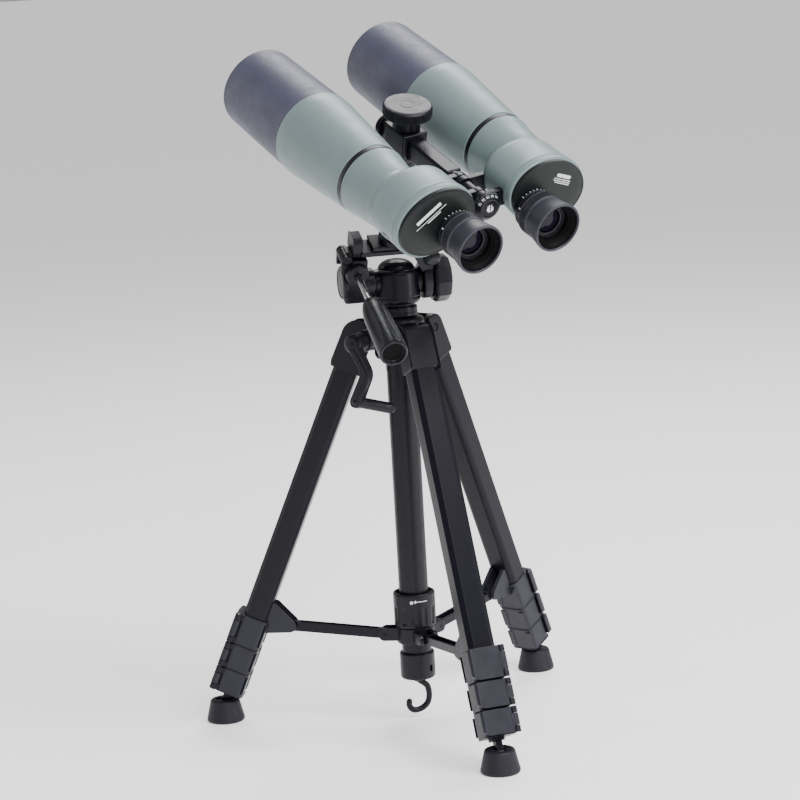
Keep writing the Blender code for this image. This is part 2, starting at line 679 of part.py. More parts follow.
def build_foot(leg, number):
    foot = frame(f"leg_{number}_ankle", leg, at(z=-ANKLE) @ at(rx=-LEG_LEAN))
    base = -(LEG_PIVOT_Z - ANKLE * math.cos(math.radians(LEG_LEAN)))
    profile = [(0, base + FOOT_H), (12, base + FOOT_H), (13, base + FOOT_H - 1.5), (FOOT_R, base + 2.5)]
    profile += [(FOOT_R - 1, base), (0, base)]
    body = turned(foot, profile)
    slot = box(foot, (-3.4, -8, -6), (3.4, 8, 20))
    pin_hole = box(foot, (-6.5, -2, -2), (6.5, 2, 20))
    finish(cut(body, slot, pin_hole), f"leg_{number}_foot", BLACK_RUBBER)


def build_leg(stand, number, azimuth):
    turn = at(rz=azimuth - 90) @ at(y=LEG_PIVOT_R, z=LEG_PIVOT_Z)
    leg = frame(f"leg_{number}_pivot", stand, turn @ at(rx=LEG_LEAN))
    build_upper_leg(leg, number)
    build_lower_sections(leg, number)
    build_levers(leg, number)
    build_foot(leg, number)


# ---------------------------------------------------------------- assembly


def stand_over_origin(stand):
    """Moves the stand so that the middle of the whole object's footprint box is the origin."""
    bpy.context.view_layer.update()
    graph = bpy.context.evaluated_depsgraph_get()
    low, high = [math.inf] * 2, [-math.inf] * 2
    for obj in PARTS.objects:
        if obj.type != "MESH":
            continue
        solid = obj.evaluated_get(graph)
        for vertex in solid.data.vertices:
            place = solid.matrix_world @ vertex.co
            low = [min(a, b) for a, b in zip(low, place)]
            high = [max(a, b) for a, b in zip(high, place)]
    stand.location.x = -(low[0] + high[0]) / 2
    stand.location.y = -(low[1] + high[1]) / 2
    bpy.context.view_layer.update()


clear_scene()
PARTS = collection("astronomy_binoculars")
CUTTERS = collection("cutters")

ARMOUR = material("green_armour", (0.13, 0.19, 0.17), 0.5)
BLACK_RUBBER = material("black_rubber", (0.035, 0.033, 0.042), 0.55)
COVER = material("rear_cover_black", (0.02, 0.024, 0.022), 0.45)
PLASTIC = material("black_plastic", (0.03, 0.028, 0.038), 0.4)
PAINT = material("black_painted_metal", (0.025, 0.024, 0.033), 0.3, 0.4)
LENS = material("coated_glass", (0.03, 0.05, 0.07), 0.05)

stand_frame = frame("stand", None, at())
build_crown(stand_frame)
build_hub(stand_frame)
build_collar(stand_frame)
build_hook(stand_frame)
for index, leg_azimuth in enumerate(LEG_AZIMUTHS, 1):
    build_leg(stand_frame, index, leg_azimuth)
    build_brace(stand_frame, index, leg_azimuth)

build_column(frame("column", stand_frame, at()))
crank_frame = frame("crank_axis", stand_frame, at(rz=CRANK_AZIMUTH + 90) @ at(z=CRANK_Z) @ at(rx=90))
build_crank(crank_frame)

pan_frame = frame("pan_axis", stand_frame, at(z=TILT_Z, rz=PAN))
build_pan_body(pan_frame)
tilt_frame = frame("tilt_axis", pan_frame, at(rx=TILT))
build_tilt_yoke(tilt_frame)
frame("handle_axis", tilt_frame, HANDLE_PLACE)
build_handle(tilt_frame)
build_tilt_knob(tilt_frame)
platform_frame = frame("platform", tilt_frame, at())
frame("flip_axis", platform_frame, at(FLIP_X, 0, FLIP_Z))
build_platform(platform_frame)
post_frame = build_mount(platform_frame)

binocular = frame("binocular", post_frame, at(y=-POST_Y, z=BAR_RISE - PLATE_TOP))
build_centre_bar(binocular)
build_half(-1, "left", binocular)
build_half(1, "right", binocular)
stand_over_origin(stand_frame)
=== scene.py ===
"""Looks of the giant binoculars and their folding tripod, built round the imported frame.

Every piece is drawn in millimetres in the frame of the body that it rides on, then placed in metres.
"""

import json
from math import atan2, cos, degrees, hypot, pi, radians, sin, sqrt, tau

import bmesh
import bpy
from mathutils import Euler, Matrix, Vector


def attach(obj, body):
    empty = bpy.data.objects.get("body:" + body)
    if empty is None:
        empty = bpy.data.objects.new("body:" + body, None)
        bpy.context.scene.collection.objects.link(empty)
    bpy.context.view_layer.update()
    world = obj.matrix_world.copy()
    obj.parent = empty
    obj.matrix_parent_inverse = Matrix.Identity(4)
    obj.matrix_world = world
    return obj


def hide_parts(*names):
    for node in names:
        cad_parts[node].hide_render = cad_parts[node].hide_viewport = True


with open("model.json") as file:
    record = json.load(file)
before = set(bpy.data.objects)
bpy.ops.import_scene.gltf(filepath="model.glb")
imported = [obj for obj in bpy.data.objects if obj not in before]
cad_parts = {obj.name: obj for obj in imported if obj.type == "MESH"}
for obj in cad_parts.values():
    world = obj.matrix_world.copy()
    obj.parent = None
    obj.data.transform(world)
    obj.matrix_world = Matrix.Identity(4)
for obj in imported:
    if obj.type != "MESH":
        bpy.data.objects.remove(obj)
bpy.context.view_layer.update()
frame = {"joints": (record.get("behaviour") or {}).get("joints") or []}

MM = 0.001
JOINTS = {joint["name"]: joint for joint in frame["joints"]}

# Tripod.
LEG_AZIMUTHS = (173, 293, 53)
LEG_PIVOT_R, LEG_PIVOT_Z = 35, 348.93
LEG_LEAN = 23.2
ANKLE = 362
TUBE_W, TUBE_D = 24, 22
WALL = 1.5
LOCK_ENDS = (302, 326, 349)
LOCK_STARTS = (274, 302.3, 326.3)
LOCK_HINGE = (-14.2, 13.8)
BRACKET_END = 31
FOOT_R, FOOT_H = 17, 20
HUB_Z, HUB_PIN_R = 79, 27
HUB_LOW, HUB_HIGH = 71, 86
LEG_PIN_DOWN, LEG_PIN_IN = 270, 33.5
COLLAR_TOP = 117
COLUMN_R, GUIDE_R = 11, 13
CROWN_R, CROWN_TOP = 22.5, 364
CRANK_AZIMUTH, CRANK_Z, CRANK_ARM, CRANK_PLANE = 238, 350, 50, 72

# Head and binocular.
TILT_Z = 394
PAN, TILT, TURN = 16.01, 24.66, 17.83
BODY_R, DRUM_R = 20.2, 17
BED_LOW, BED_HIGH, PLATE_TOP = 33.5, 38, 42.1
FLIP_X, FLIP_Z = -48, 30
HANDLE_START = (-39, -13, 18)
ROD_LENGTH, GRIP_LENGTH = 32, 94
POST_Y, BAR_RISE = 171, 138.1
OBJECTIVE_X = 62
EYE_X, EYE_Z = 37.5, -5.7
OVAL_X, OVAL_Z, OVAL_TURN = 54, 3.8, 12
OVAL_A, OVAL_B = 36.4, 28.9
HOUSING_END, TUBE_END, SHIELD_END = 124, 216, 309
NECK_R, CONE_R, HOUSING_WALL = 26.5, 31.2, 2.8
SHOULDER_Y, SHOULDER_R, TURN_IN = 78, 14, 20
HINGE_R = 7.7
BAR_W, BAR_H = 15, 17
STRAPS = {1: ((52, 58), (80, 86)), -1: ((59, 65), (87, 93))}


# ---- places


def at(x=0, y=0, z=0, rx=0, ry=0, rz=0):
    """A placement: turned about X, Y and Z, then moved."""
    turn = Euler([radians(a) for a in (rx, ry, rz)], "XYZ").to_matrix().to_4x4()
    return Matrix.Translation(Vector((x, y, z)) * MM) @ turn


ALONG_X = at(ry=90)
FORWARD = at(rx=-90)
HANDLE_PLACE = at(*HANDLE_START) @ at(rx=90)
KNOB_PLACE = at(x=25, y=-12, z=BED_LOW + 1) @ at(rx=118)
FLIP = at(FLIP_X, 0, FLIP_Z)

AXIS = Vector(JOINTS["pan"]["pos_m"])
STAND = Matrix.Translation((AXIS.x, AXIS.y, 0))
PAN_FRAME = STAND @ at(z=TILT_Z, rz=PAN)
TILT_FRAME = PAN_FRAME @ at(rx=TILT)
POST = TILT_FRAME @ at(z=PLATE_TOP, rz=TURN)
BINOCULAR = POST @ at(y=-POST_Y, z=BAR_RISE - PLATE_TOP)
CRANK = STAND @ at(rz=CRANK_AZIMUTH + 90) @ at(z=CRANK_Z) @ at(rx=90)


# ---- shapes, as meshes in millimetres


def skin(rings, loop=False):
    """A skin over rings of equal point count, capped at both ends, or joined round where it loops."""
    bm = bmesh.new()
    rows = [[bm.verts.new(point) for point in ring] for ring in rings]
    pairs = list(zip(rows, rows[1:]))
    if loop:
        pairs.append((rows[-1], rows[0]))
    for lower, upper in pairs:
        for i in range(len(lower)):
            j = (i + 1) % len(lower)
            bm.faces.new((lower[i], lower[j], upper[j], upper[i]))
    if not loop:
        bm.faces.new(rows[0])
        bm.faces.new(rows[-1])
    return bm


def soften(points, radius, closed, bits=3):
    """The outline with each corner rounded."""
    if not radius:
        return [Vector(point) for point in points]
    made = []
    for i, corner in enumerate(points):
        here = Vector(corner)
        if not closed and i in (0, len(points) - 1):
            made.append(here)
            continue
        back, onward = Vector(points[i - 1]) - here, Vector(points[(i + 1) % len(points)]) - here
        reach = min(radius, back.length * 0.45, onward.length * 0.45)
        start, end = here + back.normalized() * reach, here + onward.normalized() * reach
        for k in range(bits + 1):
            t = k / bits
            made.append(start * (1 - t) ** 2 + here * 2 * t * (1 - t) + end * t * t)
    return made


def lathe(profile, steps=96, rounding=0.6, swell=None):
    """A solid of revolution about Z. One that starts on the axis is solid, and any other is a ring."""
    solid = profile[0][0] == 0
    points = soften(profile, rounding, not solid)
    if solid:
        points = points[1:-1]
    rings = []
    for r, z in points:
        ring = []
        for i in range(steps):
            turn = tau * i / steps
            out = r + (swell(turn, r, z) if swell else 0)
            ring.append((out * cos(turn), out * sin(turn), z))
        rings.append(ring)
    return skin(rings, loop=not solid)


def bevelled(bm, width, segments):
    """Rounds every edge that turns more than 40 degrees."""
    bm.normal_update()
    sharp = radians(40)
    edges = [e for e in bm.edges if len(e.link_faces) == 2 and e.calc_face_angle(0) > sharp]
    bmesh.ops.bevel(bm, geom=edges, offset=width, segments=segments, profile=0.5, affect="EDGES",
                    clamp_overlap=True)
    return bm


def block(low, high, bevel=0.8, segments=3):
    """A box between two corners with rounded edges."""
    low, high = Vector(low), Vector(high)
    bm = bmesh.new()
    place = Matrix.Translation((low + high) / 2) @ Matrix.Diagonal((*(high - low), 1))
    bmesh.ops.create_cube(bm, size=1, matrix=place)
    return bevelled(bm, bevel, segments) if bevel else bm


def prism(outline, start, end, bevel=0.5, segments=2):
    """A flat outline in X and Y, with thickness from start to end along Z and rounded rims."""
    low = [(x, y, start) for x, y in outline]
    high = [(x, y, end) for x, y in outline]
    bm = skin([low, high])
    return bevelled(bm, bevel, segments) if bevel else bm


def barrel(radius, start, end, rounding=0.5, steps=48):
    return lathe([(0, end), (radius, end), (radius, start), (0, start)], steps, rounding)


def ring_of(outer, inner, start, end, rounding=0.4, steps=96):
    return lathe([(outer, end), (outer, start), (inner, start), (inner, end)], steps, rounding)


def smooth_path(points, bits):
    """A Catmull-Rom line through the points."""
    points = [Vector(p) for p in points]
    line = []
    for i in range(len(points) - 1):
        p0, p1 = points[max(i - 1, 0)], points[i]
        p2, p3 = points[i + 1], points[min(i + 2, len(points) - 1)]
        for k in range(bits):
            t = k / bits
            square, cube = 2 * p0 - 5 * p1 + 4 * p2 - p3, 3 * p1 - p0 - 3 * p2 + p3
            line.append(0.5 * (2 * p1 + (p2 - p0) * t + square * t**2 + cube * t**3))
    return line + [points[-1]]


def pipe(points, radius, steps, bits=6):
    """A round bar along a smooth line, with domed ends."""
    line = smooth_path(points, bits)
    turns = [tau * k / steps for k in range(steps)]
    side = Vector((0, 1, 0))
    rings = []
    for i, here in enumerate(line):
        ahead = (line[min(i + 1, len(line) - 1)] - line[max(i - 1, 0)]).normalized()
        side = (side - ahead * side.dot(ahead)).normalized()
        up = ahead.cross(side)
        places = [(here, 1.0)]
        if i in (0, len(line) - 1):
            sign = -1 if i == 0 else 1
            angles = [radians(a) for a in (20, 40, 60, 78)]
            caps = [(here + ahead * sign * radius * sin(a), cos(a)) for a in angles]
            places = caps[::-1] + places if i == 0 else places + caps
        for centre, share in places:
            rings.append([centre + (side * cos(t) + up * sin(t)) * radius * share for t in turns])
    return skin(rings)


def arc(radius, start, end, steps, x=0, y=0):
    """Points on an arc from start to end degrees about (x, y)."""
    turns = [radians(start + (end - start) * i / steps) for i in range(steps + 1)]
    return [(x + radius * cos(t), y + radius * sin(t)) for t in turns]


def slab_end(length, half):
    """A bar outline along X with round ends."""
    return arc(half, 90, 270, 12) + arc(half, -90, 90, 12, x=length)


def rounded_box(width, depth, corner, steps=6):
    """A rectangle with round corners, about the origin."""
    w, d = width / 2 - corner, depth / 2 - corner
    corners = ((w, d, 0), (-w, d, 90), (-w, -d, 180), (w, -d, 270))
    return [p for x, y, start in corners for p in arc(corner, start, start + 90, steps, x, y)]


def moved(bm, place):
    """The shape moved by a placement given in metres."""
    scaled = place.copy()
    scaled.translation = place.translation / MM
    bm.transform(scaled)
    return bm


def linked(name, data):
    """A new object in the scene."""
    made = bpy.data.objects.new(name, data)
    bpy.context.scene.collection.objects.link(made)
    return made


def mesh_of(bm, name="shape"):
    mesh = bpy.data.meshes.new(name)
    bm.to_mesh(mesh)
    bm.free()
    return mesh


def object_of(bm):
    bmesh.ops.recalc_face_normals(bm, faces=bm.faces)
    return linked("shape", mesh_of(bm))


def shape_of(made, *others):
    """The shape that an object has after its modifiers. It leaves the scene, and so do the others."""
    graph = bpy.context.evaluated_depsgraph_get()
    mesh = bpy.data.meshes.new_from_object(made.evaluated_get(graph))
    bm = bmesh.new()
    bm.from_mesh(mesh)
    for extra in (made, *others):
        bpy.data.objects.remove(extra)
    bpy.data.meshes.remove(mesh)
    return bm


def carved(bm, *others, operation="DIFFERENCE"):
    """The shape with the others taken out of it, or kept only where they are."""
    base = object_of(bm)
    tools = [object_of(other) for other in others]
    for tool in tools:
        cut = base.modifiers.new("carve", "BOOLEAN")
        cut.operation = operation
        cut.object = tool
    return shape_of(base, *tools)


class Piece:
    """One visible piece: closed shapes in its own frame, each with a material."""

    def __init__(self):
        self.bm = bmesh.new()
        self.materials = []

    def add(self, bm, material, place=None):
        if material not in self.materials:
            self.materials.append(material)
        if place is not None:
            moved(bm, place)
        bmesh.ops.recalc_face_normals(bm, faces=bm.faces)
        for face in bm.faces:
            face.material_index = self.materials.index(material)
        mesh = mesh_of(bm)
        self.bm.from_mesh(mesh)
        bpy.data.meshes.remove(mesh)
        return self

    def place(self, name, where, body, slot=None, stands_for=(), smooth=38, edge=0.0):
        """Puts the piece in its frame, on its body."""
        self.bm.transform(Matrix.Scale(MM, 4))
        mesh = mesh_of(self.bm, name)
        for material in self.materials:
            mesh.materials.append(material)
        mesh.shade_smooth()
        mesh.set_sharp_from_angle(angle=radians(smooth))
        made = linked(name, mesh)
        made.matrix_world = where
        if edge:
            rim = made.modifiers.new("rim", "BEVEL")
            rim.width = edge * MM
            rim.segments = 2
            rim.limit_method = "ANGLE"
            rim.angle_limit = radians(smooth)
            rim.harden_normals = True
        made.modifiers.new("normals", "WEIGHTED_NORMAL").keep_sharp = True
        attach(made, body)
        if stands_for:
            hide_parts(*stands_for)


# ---- materials


GRAIN_GLOSS = 0.16


class Nodes:
    """The nodes of one material. An input takes a value, or the output of another node."""

    def __init__(self, name):
        self.material = bpy.data.materials.new(name)
        self.material.use_nodes = True
        self.tree = self.material.node_tree
        self.shader = self.tree.nodes["Principled BSDF"]

    def fill(self, node, inputs):
        for key, value in inputs.items():
            if isinstance(value, bpy.types.NodeSocket):
                self.tree.links.new(value, node.inputs[key])
            else:
                node.inputs[key].default_value = value

    def new(self, kind, inputs, output):
        made = self.tree.nodes.new("ShaderNode" + kind)
        self.fill(made, inputs)
        return made.outputs[output]

    def blend(self, factor, low, high):
        """A colour between two others."""
        made = self.tree.nodes.new("ShaderNodeMix")
        made.data_type = "RGBA"
        self.fill(made, {"A": (*low, 1), "B": (*high, 1), "Factor": factor})
        return made.outputs["Result"]

    def noise(self, scale, detail=3, rough=0.55, stretch=None):
        """A noise texture in the piece's own metres, stretched along an axis where asked."""
        where = self.new("TexCoord", {}, "Object")
        if stretch:
            where = self.new("Mapping", {"Scale": stretch, "Vector": where}, "Vector")
        inputs = {"Scale": scale, "Detail": detail, "Roughness": rough, "Vector": where}
        return self.new("TexNoise", inputs, "Fac")

    def between(self, factor, low, high):
        """Maps a texture's middle range to low and high."""
        inputs = {"From Min": 0.35, "From Max": 0.65, "To Min": low, "To Max": high, "Value": factor}
        return self.new("MapRange", inputs, "Result")


def surface(name, colour, roughness, grain=0.5, depth=0.02, mottle=0.1, metallic=0.0, stretch=None,
            patch=45, spread=0.06, specular=0.5):
    """A moulded, painted or rubber surface: grain and its depth in mm, and slow changes of tone and gloss."""
    made = Nodes(name)
    dull, bright = ([c * (1 + sign * mottle) for c in colour] for sign in (-1, 1))
    tone = made.blend(made.between(made.noise(patch, 4), 0, 1), dull, bright)
    fine = made.noise(1 / (grain * MM), 4, 0.6, stretch)
    low, high = (roughness + way * spread - GRAIN_GLOSS / 2 for way in (-1, 1))
    gloss = made.tree.nodes.new("ShaderNodeMath")
    gloss.operation = "MULTIPLY_ADD"
    made.fill(gloss, {0: fine, 1: GRAIN_GLOSS, 2: made.between(made.noise(patch * 3, 5, 0.65), low, high)})
    bump = made.new("Bump", {"Strength": 0.6, "Distance": depth * MM, "Height": fine}, "Normal")
    made.fill(made.shader, {
        "Base Color": tone, "Metallic": metallic, "Specular IOR Level": specular,
        "Roughness": gloss.outputs["Value"], "Normal": bump,
    })
    return made.material


def glass(name, tint, transmission, coat=0.6, specular=0.5):
    """Coated optical glass with a faint tint that turns with the angle."""
    made = Nodes(name)
    facing = made.new("LayerWeight", {"Blend": 0.35}, "Facing")
    made.fill(made.shader, {
        "Base Color": made.blend(facing, *tint), "Roughness": made.between(made.noise(900), 0.02, 0.05),
        "Transmission Weight": transmission, "IOR": 1.52, "Specular IOR Level": specular,
        "Coat Weight": coat, "Coat Roughness": 0.02,
    })
    return made.material


ARMOUR = surface("armour_rubber", (0.152, 0.203, 0.205), 0.42, 0.45, 0.03, 0.05, patch=22)
HOOD = surface("hood_rubber", (0.058, 0.059, 0.094), 0.48, 0.4, 0.03, 0.08, specular=0.4)
EYECUP = surface("eyecup_rubber", (0.026, 0.026, 0.037), 0.5, 0.4, 0.03, 0.08, specular=0.4)
GRIP = surface("grip_rubber", (0.007, 0.0068, 0.011), 0.34, 0.6, 0.01, 0.12, specular=0.3)
COVER = surface("cover_plastic", (0.007, 0.0085, 0.0085), 0.42, 0.35, 0.04, specular=0.25)
PLASTIC = surface("black_plastic", (0.006, 0.0057, 0.0095), 0.36, 0.4, 0.012, specular=0.25)
PAINT = surface("black_paint", (0.0045, 0.0043, 0.0085), 0.3, 0.3, 0.002, 0.06, patch=60, spread=0.012,
                specular=0.2)
SHADE = surface("lock_plastic", (0.015, 0.0148, 0.0225), 0.4, 0.45, 0.015, 0.08, specular=0.3)
FOOT = surface("foot_rubber", (0.011, 0.0107, 0.0165), 0.55, 0.5, 0.04, 0.12, specular=0.3)
# Painted shade: a near-black matte put in the hollows inside the eyecup, the eyepiece bore and the grip's end
# recess.
PAINTED_SHADE = surface("inner_black", (0.002, 0.002, 0.0024), 0.65, 0.8, 0.03, specular=0.1)
STEEL = surface("bright_steel", (0.62, 0.61, 0.6), 0.2, 0.3, 0.004, 0.05, metallic=1.0, stretch=(1, 1, 0.05))
PRINT = surface("white_print", (0.72, 0.74, 0.74), 0.5, 0.25, 0.01, 0.06)
OBJECTIVE_GLASS = glass("objective_glass", ((0.05, 0.10, 0.09), (0.25, 0.12, 0.32)), 0.55)
EYE_GLASS = glass("eye_glass", ((0.006, 0.006, 0.010), (0.02, 0.015, 0.04)), 0.1, coat=0, specular=0.12)
PRISM_GLASS = glass("prism_glass", ((0.5, 0.6, 0.58), (0.6, 0.6, 0.7)), 0.9)


# ---- binocular halves


def oval(side, y, inset, count=120):
    """The housing's tilted ellipse across the tube at y, with its inner end up."""
    tilt = radians(-OVAL_TURN)
    cos_tilt, sin_tilt = cos(tilt), sin(tilt)
    ring = []
    for i in range(count):
        t = tau * i / count
        u, v = (OVAL_A - inset) * cos(t), (OVAL_B - inset) * sin(t)
        ring.append((side * (OVAL_X + u * cos_tilt - v * sin_tilt), y, OVAL_Z + u * sin_tilt + v * cos_tilt))
    return ring


def step(value, start, end):
    t = min(max((value - start) / (end - start), 0), 1)
    return t * t * (3 - 2 * t)


def reach_of_ellipse(start, middle, a, b, turn, ray):
    """Distance from a point inside an ellipse to its edge along a ray, all in the cross-section."""
    cos_turn, sin_turn = cos(turn), sin(turn)

    def local(x, z):
        return Vector(((x * cos_turn + z * sin_turn) / a, (z * cos_turn - x * sin_turn) / b))

    p, d = local(start[0] - middle[0], start[1] - middle[1]), local(*ray)
    half = p.dot(d) / d.dot(d)
    return sqrt(max(half * half - (p.dot(p) - 1) / d.dot(d), 0)) - half


def blended_ring(side, y, inset, neck, count=144):
    """The oval body and the round neck in front of it as one outline, with a soft crease between them."""
    start = (OVAL_X + 4, OVAL_Z - 2.3)
    oval_body = ((OVAL_X, OVAL_Z), OVAL_A - inset, OVAL_B - inset, radians(-OVAL_TURN))
    crease = 2.2
    ring = []
    for i in range(count):
        t = tau * i / count
        ray = (cos(t), sin(t))
        body = reach_of_ellipse(start, *oval_body, ray)
        tube = reach_of_ellipse(start, (OBJECTIVE_X, 0), neck, neck, 0, ray)
        reach = (body + tube + hypot(body - tube, crease)) / 2
        ring.append((side * (start[0] + reach * ray[0]), y, start[1] + reach * ray[1]))
    return ring


def shoulder_rings(side, wall, steps):
    """The round shoulder over the prisms, as it turns in towards the neck."""
    rings = []
    for k in range(steps + 1):
        turn = radians(84 * k / steps)
        y = SHOULDER_Y + (SHOULDER_R - wall) * sin(turn)
        rings.append(blended_ring(side, y, TURN_IN - (TURN_IN - wall) * cos(turn), NECK_R - wall))
    return rings


def housing_shell(side):
    """Outer skin from the rear rim forward, then the inner wall back to the rim."""
    rim = [(41.5, 0.9), (41.7, 0.3), (42.2, -0.3), (43.2, -0.8), (46.8, -1.0), (47.2, -0.8), (47.5, -0.1)]
    rim += [(48.1, -0.1), (48.4, -0.7), (49.2, -0.8), (51, -0.5), (54, -0.1), (58, 0), (68, 0)]
    neck = [(93, NECK_R + 0.2), (96, NECK_R + 0.8), (100, 27.7), (105, 28.3), (110, 28.9), (116, 29.9)]
    neck += [(122.5, CONE_R - 0.1), (123.4, CONE_R - 0.3), (HOUSING_END, CONE_R - 0.9)]
    rings = [blended_ring(side, y, inset, NECK_R) for y, inset in rim]
    rings += shoulder_rings(side, 0, 18)
    rings += [blended_ring(side, y, TURN_IN, radius) for y, radius in neck]
    inner_neck = ((HOUSING_END, CONE_R), (110, 28.9), (96, 27.3))
    rings += [blended_ring(side, y, TURN_IN, radius - HOUSING_WALL) for y, radius in inner_neck]
    rings += shoulder_rings(side, HOUSING_WALL, 8)[::-1]
    rings += [blended_ring(side, y, HOUSING_WALL, NECK_R - HOUSING_WALL) for y in (60, 41.5)]
    return skin(rings, loop=True)


def prism_housing(side, word):
    piece = Piece().add(housing_shell(side), ARMOUR)
    lug = carved(block((side * 86 - 3, 57, -13), (side * 86 + 3.6, 67, 2), 1.6),
                 block((side * 88 - 4, 59.4, -9.5), (side * 88 + 1.2, 64.6, -1.5), 0.6))
    piece.add(lug, ARMOUR)
    for (start, end), reach in zip(STRAPS[side], (24, 38)):
        web = block((min(side * 2, side * reach), start, -6), (max(side * 2, side * reach), end, 8.9), 0.7)
        for shape in (web, moved(barrel(9.6, start, end), FORWARD)):
            piece.add(carved(shape, moved(barrel(HINGE_R + 0.3, 40, 110, 0), FORWARD)), PAINT)
    piece.place(f"prism_housing_{word}_shell", BINOCULAR, f"half_{word}", "armour", [f"prism_housing_{word}"])


def objective_axis(side):
    return BINOCULAR @ at(x=side * OBJECTIVE_X) @ FORWARD


def eye_axis(side):
    """Where an eyepiece stands, in the binocular's frame."""
    return at(x=side * EYE_X, z=EYE_Z) @ FORWARD


def objective_tube(side, word):
    where = objective_axis(side)
    profile = [(37.9, TUBE_END), (37.9, 206), (37.5, 201), (31.6, 131.5), (31.3, 128.9), (28.7, 128.9)]
    profile += [(29, 133), (35.3, 205), (35.3, TUBE_END)]
    tube = Piece().add(lathe(profile, 128, 0.8), ARMOUR)
    tube.place(f"objective_tube_{word}_cone", where, f"half_{word}", "armour", [f"objective_tube_{word}"])
    band = Piece().add(ring_of(30.9, 28.9, HOUSING_END + 0.3, 128.6, 0.5, 128), GRIP)
    band.place(f"objective_band_{word}", where, f"half_{word}", "hood_rubber")


def dew_shield(side, word):
    where = objective_axis(side)
    top, low = SHIELD_END, TUBE_END
    profile = [(33.9, top), (35.1, top - 0.3), (35.9, top - 1.4), (36.2, top - 4), (37.4, low + 14)]
    profile += [(37.5, low + 0.5), (34.9, low + 0.5), (34.9, low - 10), (32.4, low - 10), (32.4, low + 1)]
    profile += [(33.5, low + 5)]
    for k in range(18):
        y = top - 22.5 + k * 1.2
        profile += [(33.4, y), (32.9, y + 0.5), (33.4, y + 1.0)]
    profile += [(33.3, top - 0.6)]
    shield = Piece().add(lathe(profile, 128, 0.35), HOOD)
    shield.place(f"dew_shield_{word}_hood", where, f"half_{word}", "hood_rubber", [f"dew_shield_{word}"])
    rim = [(33.2, 277), (33.2, 262), (31, 262), (31, 275.4), (32, 277)]
    cell = Piece().add(lathe(rim, 128, 0.4), PAINT)
    cell.place(f"objective_cell_{word}", where, f"half_{word}", "black_paint")
    curve = [(0, 275)] + [(31.4 * k / 10, 275 - 5.2 * (k / 10) ** 2) for k in range(1, 11)]
    curve += [(31.4, 264.5), (18, 263.2), (0, 262.6)]
    lens = Piece().add(lathe(curve, 96, 0.3), OBJECTIVE_GLASS)
    node = f"objective_lens_{word}"
    lens.place(node + "_glass", where, f"half_{word}", "lens_glass", [node])


def rear_cover(side, word):
    """The cover plate with its rim, a domed middle and a few plain printed bars."""
    dome = [(41.2, 0.6), (39.2, 0.6), (38.6, 0.9), (38.4, 1.6), (38.7, 2.4), (38.7, 3.2), (38.3, 4.2)]
    rings = [oval(side, y, inset) for y, inset in [*dome, (38.0, 8), (37.9, 16)]]
    hole = moved(barrel(10.2, 30, 50, 0), eye_axis(side))
    piece = Piece().add(carved(skin(rings), hole), COVER)
    if side < 0:
        place = at(-62, 37.85, 12, ry=-34)
        bars = ((0, 7.2, 3.0, 26), (0, 2.6, 0.5, 32), (2, 0.6, 0.9, 14))
    else:
        place = at(66, 37.85, 13, ry=24)
        bars = ((0, 7.0, 3.0, 15), (0, 3.9, 0.7, 18), (0, 2.2, 0.7, 18), (1, 0.6, 0.7, 16))
    for along, up, height, length in bars:
        row = place @ at(x=along, z=up - 4)
        shape = rounded_box(length, height, height * 0.3)
        piece.add(prism(shape, -0.06, 0.1, 0), PRINT, row @ at(rx=90))
    node = f"rear_cover_{word}"
    piece.place(node + "_plate", BINOCULAR, f"half_{word}", "cover_plastic", [node])


def prism_pair(side, word):
    piece = Piece().add(block((side * 55 - 20, 72, -8), (side * 55 + 20, 75, 20)), PLASTIC)
    near = prism([(-17, 0), (17, 0), (15.5, 1.4), (1.3, 12.4), (-1.3, 12.4), (-15.5, 1.4)], -9, 9, 0.4)
    far = prism([(-13, 0), (13, 0), (11.7, 1.4), (1.2, 9.4), (-1.2, 9.4), (-11.7, 1.4)], -11, 11, 0.4)
    piece.add(near, PRISM_GLASS, at(side * 52, 72.4, 6, rx=180))
    piece.add(far, PRISM_GLASS, at(side * 57, 74.6, 5) @ at(ry=90))
    piece.place(f"prisms_{word}", BINOCULAR, f"half_{word}", "lens_glass", [f"prism_pair_{word}"])


def eyepiece(side, word):
    where = BINOCULAR @ eye_axis(side)
    profile = [(9.8, 46), (9.8, 37.6), (16.4, 37.6), (17.3, 37), (17.3, 34.6), (16.8, 34.2), (17.2, 33.8)]
    profile += [(17.2, 30.4), (13.9, 30.4), (13.9, 12), (12.6, 12), (12.2, 13.2), (10.8, 13.6), (10.8, 30)]
    profile += [(8, 32), (8, 46)]
    tube = Piece().add(lathe(profile, 96, 0.25), PLASTIC)

    def printed(outline, start, end, up, turn):
        tube.add(prism(outline, start, end, 0), PRINT, at(z=up, rz=turn) @ at(rx=90, rz=90))

    printed(rounded_box(1.3, 3.4, 0.6), 17.1, 17.35, 32, -156 if side < 0 else -160)
    for k in range(9):
        printed(rounded_box(0.45, 1.5 if k % 4 else 2.4, 0.2), 17.2, 17.4, 36, -130 + 12 * k)
    # Painted shade: a near-black ring inside the bore behind the eye lens, darker than the tube itself.
    tube.add(ring_of(10.7, 9.2, 21.2, 22.4, 0.3), PAINTED_SHADE)
    tube.place(f"eyepiece_{word}", where, f"eyepiece_{word}", "black_plastic", [f"eyepiece_tube_{word}"])
    curve = [(0, 20)] + [(9.6 * k / 8, 20 - 1.3 * (k / 8) ** 2) for k in range(1, 9)]
    curve += [(10.4, 18.4), (10.4, 15.6), (9.6, 15.2), (5, 14.5), (0, 14.3)]
    lens = Piece().add(lathe(curve, 72, 0.2), EYE_GLASS)
    lens.place(f"eye_lens_{word}_glass", where, f"eyepiece_{word}", "lens_glass", [f"eye_lens_{word}"])


